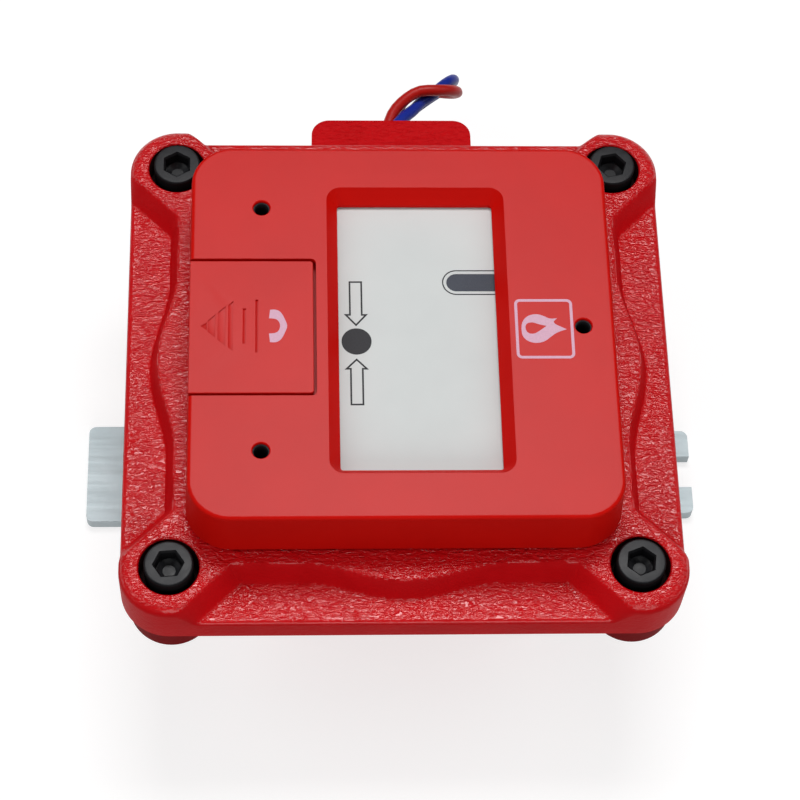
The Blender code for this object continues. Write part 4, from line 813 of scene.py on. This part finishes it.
def add_lid():
    insets = [0.0, 0.00003, 0.00012, 0.00027, 0.00048, 0.00075, 0.0011, 0.0015, 0.0019, 0.0024]
    while insets[-1] < LID_HALF - OPENING_HALF - 0.0004:
        insets.append(insets[-1] + (0.00032 if insets[-1] < 0.0125 else 0.0012))
    insets[-1] = LID_HALF - OPENING_HALF
    loops = []
    flats = [lid_loop(inset) for inset in insets]
    shares = ridge_share(np.vstack(flats)).reshape(len(insets), -1)
    for inset, flat, share in zip(insets, flats, shares):
        rounding = EDGE_ROUND + (LOBE_ROUND - EDGE_ROUND) * share
        lack = np.maximum(rounding - inset, 0.0)
        drop = rounding - np.sqrt(np.maximum(rounding ** 2 - lack ** 2, 0.0))
        loops.append(np.column_stack((flat, LEDGE_TOP + RIDGE_HEIGHT * share - drop)))
    for flat in (loops[-1], loops[0]):
        under = flat.copy()
        under[:, 2] = LID_BOTTOM
        loops.append(under)
    edit = bmesh.new()
    rings = [[edit.verts.new(point) for point in loop] for loop in loops]
    for outer, inner in zip(rings, rings[1:] + rings[:1]):
        for k in range(len(outer)):
            following = (k + 1) % len(outer)
            edit.faces.new((outer[k], outer[following], inner[following], inner[k]))
    bmesh.ops.recalc_face_normals(edit, faces=edit.faces)
    lid = add_object("cast_lid", mesh_from(edit, "cast_lid"))
    tools = []
    for k, (sign_x, sign_y) in enumerate(((-1, -1), (1, -1), (1, 1), (-1, 1))):
        place = (sign_x * SCREW_HALF, sign_y * SCREW_HALF)
        well = ((0.0, 0.004), (COUNTERBORE_RADIUS + 0.0042, 0.004), (COUNTERBORE_RADIUS, -0.0003),
                (COUNTERBORE_RADIUS, COUNTERBORE_FLOOR - LID_TOP),
                (LID_HOLE_RADIUS, COUNTERBORE_FLOOR - LID_TOP),
                (LID_HOLE_RADIUS, LID_BOTTOM - LID_TOP - OVERCUT), (0.0, LID_BOTTOM - LID_TOP - OVERCUT))
        tools.append(turned(f"well_{k}", well, (*place, LID_TOP)))
        small = (sign_x * TAPPED_AT, sign_y * TAPPED_AT)
        tools.append(prism(f"tapped_{k}", circle(small, TAPPED_RADIUS, 20), SEAT_FLOOR - TAPPED_DEPTH,
                           SEAT_FLOOR + 0.001))
    seat = rounded_rectangle(SEAT_HALF, SEAT_HALF, SEAT_CORNER)
    tools.append(prism("seat", seat, SEAT_FLOOR, LID_TOP + OVERCUT))
    cut(lid, *tools)
    places = np.empty(len(lid.data.vertices) * 3)
    lid.data.vertices.foreach_get("co", places)
    places = places.reshape(-1, 3)
    share = ridge_share(places[:, :2])
    slope = np.clip(np.minimum(share, 1 - share) / 0.06, 0.0, 1.0)
    edge = np.clip(-signed_distance(places[:, :2], lid_loop(0.0016)) / 0.0012, 0.0, 1.0)
    grain = 1.0 - 0.85 * np.maximum(slope, edge)
    layer = lid.data.attributes.new("grain", 'FLOAT', 'POINT')
    layer.data.foreach_set("value", grain)
    dress(shade(lid, 50.0), "front_lid")
    second_look(lid, CAST_SATIN, lambda face: face.normal.z < SATIN_BELOW)
    # The wells' faces take the near-black: painted shade.
    second_look(lid, WELL_SHADE, in_well)


def transform(item, matrix):
    item.data.transform(matrix)
    item.data.update()
    return item


def along_y(item, at):
    """Lay a piece that was made round the Z axis at the origin along +Y, at a place."""
    return transform(item, Matrix.Translation(at) @ Matrix.Rotation(-math.pi / 2, 4, 'X'))


def set_grain(item, value):
    layer = item.data.attributes.new("grain", 'FLOAT', 'POINT')
    layer.data.foreach_set("value", np.full(len(item.data.vertices), value))
    return item


def add_housing():
    parting = HOUSING_HIGH[2]
    places = [(x * SCREW_HALF, y * SCREW_HALF) for x, y in ((-1, -1), (1, -1), (1, 1), (-1, 1))]
    lug_turn = arc((LUG_RADIUS - LUG_ROUND, FLANGE_LOW + LUG_ROUND), LUG_ROUND, 0, -90, 8)
    lug = [(0.0, parting), (LUG_RADIUS, parting)] + lug_turn + [(0.0, FLANGE_LOW)]
    outline = rounded_rectangle(HOUSING_HALF, HOUSING_HALF, HOUSING_CORNER)
    body = prism("cast_housing", outline, HOUSING_LOW[2], parting)
    boss = [(x, max(y, 0.0)) for x, y in rounded_rectangle(BOSS_HALF, HOUSING_HIGH[1], BOSS_CORNER)]
    boss = [point for k, point in enumerate(boss) if point != boss[k - 1]]
    flange = rounded_rectangle(FLANGE_HALF, FLANGE_HALF, HOUSING_CORNER)
    join(body, prism("flange", flange, FLANGE_LOW, parting),
         *[turned(f"lug_{k}", lug, (*place, 0.0)) for k, place in enumerate(places)],
         prism("boss", boss, *BOSS_LEVELS))
    bore = along_y(prism("bore", circle((0.0, 0.0), ENTRY_BORE, 64), -0.02, 0.02), (0.0, 0.052, ENTRY_Z))
    cavity = rounded_rectangle(CAVITY_HALF, CAVITY_HALF, CAVITY_CORNER)
    holes = [prism(f"lug_hole_{k}", circle(place, LID_HOLE_RADIUS), 0.0, parting + OVERCUT)
             for k, place in enumerate(places)]
    cut(body, prism("cavity", cavity, HOUSING_FLOOR, parting + OVERCUT), bore,
        box("channel", (-0.08, -CHANNEL_HALF, -OVERCUT), (0.08, CHANNEL_HALF, CHANNEL_DEPTH)), *holes)
    dress(set_grain(soften(body, 0.0010, 3), 1.0), "rear_housing")
    body.data.materials[0] = CAST_SATIN
    # The lugs' sides and feet take the darker red: painted shade.
    second_look(body, LUG_SHADE, on_lug)


def on_lug(face):
    """Tells whether a face of the housing is the side or the foot of a lug."""
    outside = min(abs(face.center.x), abs(face.center.y)) > HOUSING_HALF
    return outside and face.normal.z < SATIN_BELOW and face.center.z > FLANGE_LOW - 0.001


def add_strap():
    half = STRAP_HIGH[0]
    wide = 0.012
    narrow = 0.0105
    step_x = half - 0.018
    slot = 0.0039
    slot_end = half - 0.013 + slot
    bend = 0.0016
    outline = arc((-half + bend, wide - bend), bend, 90, 180, 10)
    outline += arc((-half + bend, -wide + bend), bend, 180, 270, 10)
    outline += [(step_x - (wide - narrow), -wide), (step_x, -narrow)]
    outline += arc((half - bend, -narrow + bend), bend, 270, 360, 10)
    outline += [(half, -slot)] + arc((slot_end, 0.0), slot, 270, 90, 24) + [(half, slot)]
    outline += arc((half - bend, narrow - bend), bend, 0, 90, 10)
    outline += [(step_x, narrow), (step_x - (wide - narrow), wide)]
    strap = sheet("wall_strap", [outline], STRAP_LOW[2], STRAP_HIGH[2])
    sinks = [turned(f"sink_{k}", ((0.0, 0.005), (0.0028, 0.005), (0.0028, 0.0021), (0.0049, 0.0),
                                  (0.0049, -0.002), (0.0, -0.002)), (side * 0.022, 0.0, 0.0))
             for k, side in enumerate((-1, 1))]
    dress(soften(cut(strap, *sinks), 0.00035, 3), "mounting_strap")


def add_screws():
    head = 0.005
    shank = 0.003
    edge = 0.0003
    key = 0.005
    socket_depth = 0.003
    top = SCREW_HIGH[2]
    under = top - 0.006
    bottom = SCREW_LOW[2]
    for k, (sign_x, sign_y, turn) in enumerate(((-1, -1, 4), (1, -1, 22), (1, 1, 12), (-1, 1, 30)), start=1):
        place = (sign_x * SCREW_HALF, sign_y * SCREW_HALF, 0.0)
        corners = ((0.0, top), (head - edge, top), (head, top - edge), (head, under), (shank, under),
                   (shank, bottom + 0.0008), (shank - 0.0008, bottom), (0.0, bottom))
        screw = turned(f"cap_screw_{k}", rounded_profile(corners, 0.00015), place, 72)
        hexagon = arc(place, key / math.sqrt(3), turn, turn + 300, 5)
        socket = prism(f"socket_{k}", hexagon, top - socket_depth, top + OVERCUT)
        flare = loft(f"flare_{k}", [(arc(place, 0.00270, turn, turn + 300, 5), top - 0.0006),
                                    (arc(place, 0.00360, turn, turn + 300, 5), top + 0.0003)])
        drill = turned(f"drill_{k}", ((0.0, top - 0.002), (0.0024, top - 0.002), (0.0024, top - 0.003),
                                      (0.0013, top - 0.0038), (0.0, top - 0.0038)), place, 36)
        cut(screw, socket, flare, drill)
        dress(shade(screw, 30.0), f"lid_screw_{k}")
        # The heads' sides take the darker copy: painted shade.
        second_look(screw, SCREW_SIDE_SHADE, lambda face: face.normal.z < 0.8)


def cover_levels(half_at):
    foot = COVER_HALF + COVER_DRAFT
    shade_band_top = COVER_BOTTOM + COVER_SHADE_BAND
    levels = [(half_at(foot - COVER_SHADE_BAND_INSET), COVER_BOTTOM), (half_at(foot - COVER_SHADE_BAND_INSET), shade_band_top),
              (half_at(foot), shade_band_top)]
    for k in range(7):
        turn = math.pi / 2 * k / 6
        levels.append((half_at(COVER_HALF - COVER_EDGE * (1 - math.cos(turn))),
                       COVER_TOP - COVER_EDGE + COVER_EDGE * math.sin(turn)))
    return levels


def right_rounded(left, right, half_y, radius):
    """A rectangle with round corners at its +X end."""
    return ([(left, half_y), (left, -half_y)] + arc((right - radius, -half_y + radius), radius, 270, 360, 8)
            + arc((right - radius, half_y - radius), radius, 0, 90, 8))


def add_cover():
    centre = COVER_HALF - COVER_CORNER
    cover = loft("moulded_cover", cover_levels(lambda half: rounded_rectangle(half, half, half - centre)))
    room = COVER_HALF - COVER_WALL
    cut(cover, prism("room", rounded_rectangle(room, room, COVER_CORNER - COVER_WALL), COVER_BOTTOM - 0.002,
                     COVER_FACE_UNDER))
    tubes = [prism(f"key_tube_{k}", circle(place, KEY_TUBE_RADIUS), 0.06, 0.0685)
             for k, place in enumerate(KEY_HOLES)]
    join(cover, *tubes,
         prism("jack_boss", circle((JACK_X, 0.0), 0.01003), 0.0625, COVER_FACE_UNDER + 0.0003))
    spread = WINDOW_BEVEL * (WINDOW_BEVEL_DEPTH + 0.002) / WINDOW_BEVEL_DEPTH
    lip = COVER_TOP - WINDOW_BEVEL_DEPTH
    window = loft("window", [
        (rounded_rectangle(WINDOW_HALF[0] + grow, WINDOW_HALF[1] + grow, 0.0006 + grow * 1.1,
                           WINDOW_CENTRE), z)
        for z, grow in ((COVER_FACE_UNDER - 0.002, 0.0), (lip, 0.0), (COVER_TOP + 0.002, spread))])
    recess = prism("recess", right_rounded(-0.046, DOOR_RIGHT + DOOR_GAP, DOOR_HALF_Y + DOOR_GAP, 0.0011),
                   DOOR_UNDER - 0.0003, COVER_TOP + 0.002)
    grooves = box("grooves", (-0.046, -DOOR_HALF_Y - 0.0016, DOOR_UNDER - 0.0003),
                  (DOOR_RIGHT + DOOR_GAP, DOOR_HALF_Y + 0.0016, DOOR_UNDER + 0.0012))
    notch = box("notch", (-0.046, -DOOR_HALF_Y - DOOR_GAP, DOOR_LOW[2] - 0.0003),
                (DOOR_LOW[0] + DOOR_LIP + 0.0003, DOOR_HALF_Y + DOOR_GAP, COVER_TOP))
    well = prism("jack_well", circle((JACK_X, 0.0), 0.00753), 0.0645, COVER_TOP + 0.001)
    bush = prism("bush_hole", circle((JACK_X, 0.0), 0.0048), 0.06, COVER_TOP)
    drill = ((0.0, COVER_TOP + 0.001), (KEY_HOLE_RADIUS + 0.0012, COVER_TOP + 0.001),
             (KEY_HOLE_RADIUS, COVER_TOP - 0.0002), (KEY_HOLE_RADIUS, 0.058), (0.0, 0.058))
    holes = [turned(f"key_hole_{k}", drill, (*place, 0.0), 40) for k, place in enumerate(KEY_HOLES)]
    cut(cover, window, recess, grooves, notch, well, bush, *holes)
    dress(soften(cover, 0.00022, 3), "front_cover")
    second_look(cover, PLASTIC_SATIN, lambda face: face.normal.z < COVER_FLAT)
    # The foot band takes dark plastic: a painted shadow under the cover's edge.
    second_look(cover, SLOTS["dark_plastic"], lambda face: face.center.z < COVER_BOTTOM + COVER_SHADE_BAND / 2)
    for k, place in enumerate(KEY_HOLES):
        radius = KEY_HOLE_RADIUS - 0.00005
        profile = ((0.0, 0.0605), (radius - 0.0002, 0.0605), (radius - 0.0002, COVER_TOP - 0.0008),
                   (radius, COVER_TOP - 0.0007), (radius, 0.0602), (0.0, 0.0602))
        liner = turned(f"key_liner_{k}", profile, (*place, 0.0), 40)
        dress(liner, None, "dark_plastic", "base")


def add_door():
    left = DOOR_LOW[0]
    door = prism("socket_door", right_rounded(left, DOOR_RIGHT, DOOR_HALF_Y, 0.0007), DOOR_UNDER, COVER_TOP)
    tongue = DOOR_HALF_Y + 0.001
    join(door, box("tongues", (left + DOOR_LIP, -tongue, DOOR_UNDER),
                   (DOOR_RIGHT - 0.001, tongue, DOOR_UNDER + 0.0009)),
         box("lip", (left, -DOOR_HALF_Y, DOOR_LOW[2]), (left + DOOR_LIP, DOOR_HALF_Y, DOOR_UNDER + 0.00125)))
    middle = DOOR_RIGHT - RELIEF_SETBACK
    pockets = []
    shapes = [(0.0046, 0.00105, 0.0119, 0.9), (0.00645, 0.0016, 0.0094, 0.9), (0.0085, 0.00155, 0.0055, 0.9),
              (0.0101, 0.00125, 0.0019, 0.9), (-0.00075, 0.0006, 0.0124, 0.0), (0.0018, 0.0007, 0.0083, 0.0)]
    for k, (back, length, width, slope) in enumerate(shapes):
        low = middle - back - length / 2
        high = low + length
        near = width / 2
        far = max(near - length * slope, width * 0.05)
        pockets.append(prism(f"pocket_{k}", [(low, -far), (high, -near), (high, near), (low, far)],
                             COVER_TOP - 0.0004, COVER_TOP + 0.002))
    soften(door, 0.00015, 3)
    dress(even_shading(cut(door, *pockets)), "jack_door")


def inset_outline(points, width):
    """The outline moved inwards by a width; the points run anticlockwise."""
    moved = []
    for before, corner, after in zip(points[-1:] + points[:-1], points, points[1:] + points[:1]):
        first = (Vector(corner) - Vector(before)).normalized()
        second = (Vector(after) - Vector(corner)).normalized()
        normal = Vector((-first.y - second.y, first.x + second.x))
        scale = width / max(1 + first.dot(second), 0.05)
        moved.append(tuple(Vector(corner) + normal * scale))
    return moved


def arrow(tip_y, base_y, end_y):
    x = -0.00945
    wing = 0.0025
    shaft = 0.0014
    points = [(x, tip_y), (x + wing, base_y), (x + shaft, base_y), (x + shaft, end_y), (x - shaft, end_y),
              (x - shaft, base_y), (x - wing, base_y)]
    return points if end_y > tip_y else points[::-1]


def slot_line(radius, end):
    """An outline round the indicator window, open under the window's edge."""
    middle = (0.0117, 0.0130)
    return arc(middle, radius, 90, 270, 32) + [(end, middle[1] - radius), (end, middle[1] + radius)]


def add_prints():
    low = PLATE_HIGH[2] - 0.0001
    high = PLATE_HIGH[2] + PRINT_LIFT
    marks = []
    arrows = {"far": arrow(0.0025, 0.0054, 0.0133), "near": arrow(-0.0051, -0.0077, -0.0160)}
    for name, outline in arrows.items():
        marks.append(sheet(f"arrow_{name}", [outline, inset_outline(outline, 0.00036)], low, high))
    marks.append(sheet("press_dot", [circle((-0.0094, -0.0011), 0.0031, 64)], low, high))
    marks.append(sheet("slot_edge", [slot_line(0.0030, 0.0209), slot_line(0.00275, 0.0206)], low, high))
    for mark in marks:
        print_piece(mark, DARK_INK, "plate")
    rim_lines = [slot_line(0.00238, 0.0200), slot_line(0.00212, 0.0199)]
    rim = sheet("slot_rim", rim_lines, high - 0.0006, high - 0.00005)
    dress(rim, None, "plate_white", "plate")
    low = COVER_TOP - 0.0001
    high = COVER_TOP + PRINT_LIFT
    frame_line = [rounded_rectangle(SIGN_HALF[0] - inset, SIGN_HALF[1] - inset, 0.0012 - inset, SIGN_CENTRE)
                  for inset in (0.0, 0.0006)]
    print_piece(sheet("sign_frame", frame_line, low, high), PINK_INK, "base")
    flame = [smooth_outline([(SIGN_FOOT + up * FLAME_UNIT, SIGN_CENTRE[1] + across * FLAME_UNIT)
                             for up, across in shape]) for shape in (FLAME_OUTSIDE, FLAME_INSIDE)]
    print_piece(sheet("sign_flame", flame, low, high), PINK_INK, "base")
    print_piece(sheet("handset_mark", [smooth_outline(HANDSET)], low, high), PINK_INK, "door")


def smooth_outline(points, rounds=3):
    """Cuts an outline's corners smaller and smaller; a point that is given twice or more stays sharp."""
    for _ in range(rounds):
        points = [(a[0] * (1 - t) + b[0] * t, a[1] * (1 - t) + b[1] * t)
                  for a, b in zip(points, points[1:] + points[:1]) for t in (0.25, 0.75)]
    return [point for k, point in enumerate(points) if math.dist(point, points[k - 1]) > 1e-6]


def print_piece(item, ink, body):
    item.data.materials.clear()
    item.data.materials.append(ink)
    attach(item, body)


def add_entry():
    ring = rounded_profile(((0.0065, 0.0035), (0.0075, 0.004), (0.0112, 0.004), (0.0117, 0.0035),
                            (0.0117, -0.004), (0.0065, -0.004)), 0.0002)
    piece = turned("entry_thread_ring", ring, (0.0, 0.0, 0.0), 72, closed=True)
    slots = [box(f"spanner_{k}", low, high) for k, (low, high) in enumerate((
        ((-0.0013, 0.0085, 0.0025), (0.0013, 0.014, 0.006)),
        ((-0.0013, -0.014, 0.0025), (0.0013, -0.0085, 0.006))))]
    cut(piece, *slots)
    along_y(piece, (0.0, 0.0643, ENTRY_Z))
    dress(soften(piece, 0.00015, 2), "entry_ring")


def add_floor():
    edit = bmesh.new()
    bmesh.ops.create_grid(edit, x_segments=1, y_segments=1, size=6.0)
    floor = add_object("floor", mesh_from(edit, "floor"))
    floor.location = (0.0, 0.0, -0.0003)
    make = Nodes("floor_white")
    make.set(base_color=(0.40, 0.40, 0.40, 1.0), roughness=0.9, specular_ior_level=0.1)
    path = make.add("ShaderNodeLightPath")
    seen = make.maths('MAXIMUM', path.outputs["Is Camera Ray"], path.outputs["Is Glossy Ray"])
    seen = make.maths('MAXIMUM', seen, path.outputs["Is Transmission Ray"])
    make.shader.inputs["Emission Color"].default_value = (1.0, 1.0, 1.0, 1.0)
    make.link(make.maths('MULTIPLY', seen, FLOOR_GLOW), make.shader.inputs["Emission Strength"])
    floor.data.materials.append(make.material)


def add_light(name, at, towards, size, power):
    data = bpy.data.lights.new(name, 'AREA')
    data.shape = 'RECTANGLE'
    data.size, data.size_y = size
    data.energy = power
    light = bpy.data.objects.new(name, data)
    bpy.context.scene.collection.objects.link(light)
    light.location = at
    light.rotation_euler = (Vector(towards) - Vector(at)).to_track_quat('-Z', 'Y').to_euler()


def add_world():
    world = bpy.data.worlds.new("studio")
    world.use_nodes = True
    bpy.context.scene.world = world
    tree = world.node_tree
    background = tree.nodes["Background"]
    background.inputs["Color"].default_value = (1.0, 1.0, 1.0, 1.0)
    background.inputs["Strength"].default_value = WORLD_LIGHT


add_camera()
add_leads()
add_floor()
add_world()
add_light("top_softbox", (0.03, 0.38, 1.08), (0.0, 0.0, 0.05), (0.50, 0.30), 6.2)
add_light("left_softbox", (-0.70, -0.05, 0.70), (0.0, 0.0, 0.05), (0.5, 0.5), 2.2)
add_light("right_softbox", (0.75, 0.10, 0.70), (0.0, 0.0, 0.05), (0.5, 0.5), 1.5)
add_light("near_softbox", (0.10, -0.75, 0.45), (0.0, 0.0, 0.05), (0.7, 0.4), 2.2)
for node, item in NODES.items():
    item.data.materials.clear()
    item.data.materials.append(SLOTS[SLOT_OF[node]])
add_lid()
add_housing()
add_strap()
add_screws()
add_cover()
add_door()
add_prints()
add_entry()

bpy.context.scene.view_settings.view_transform = 'Standard'
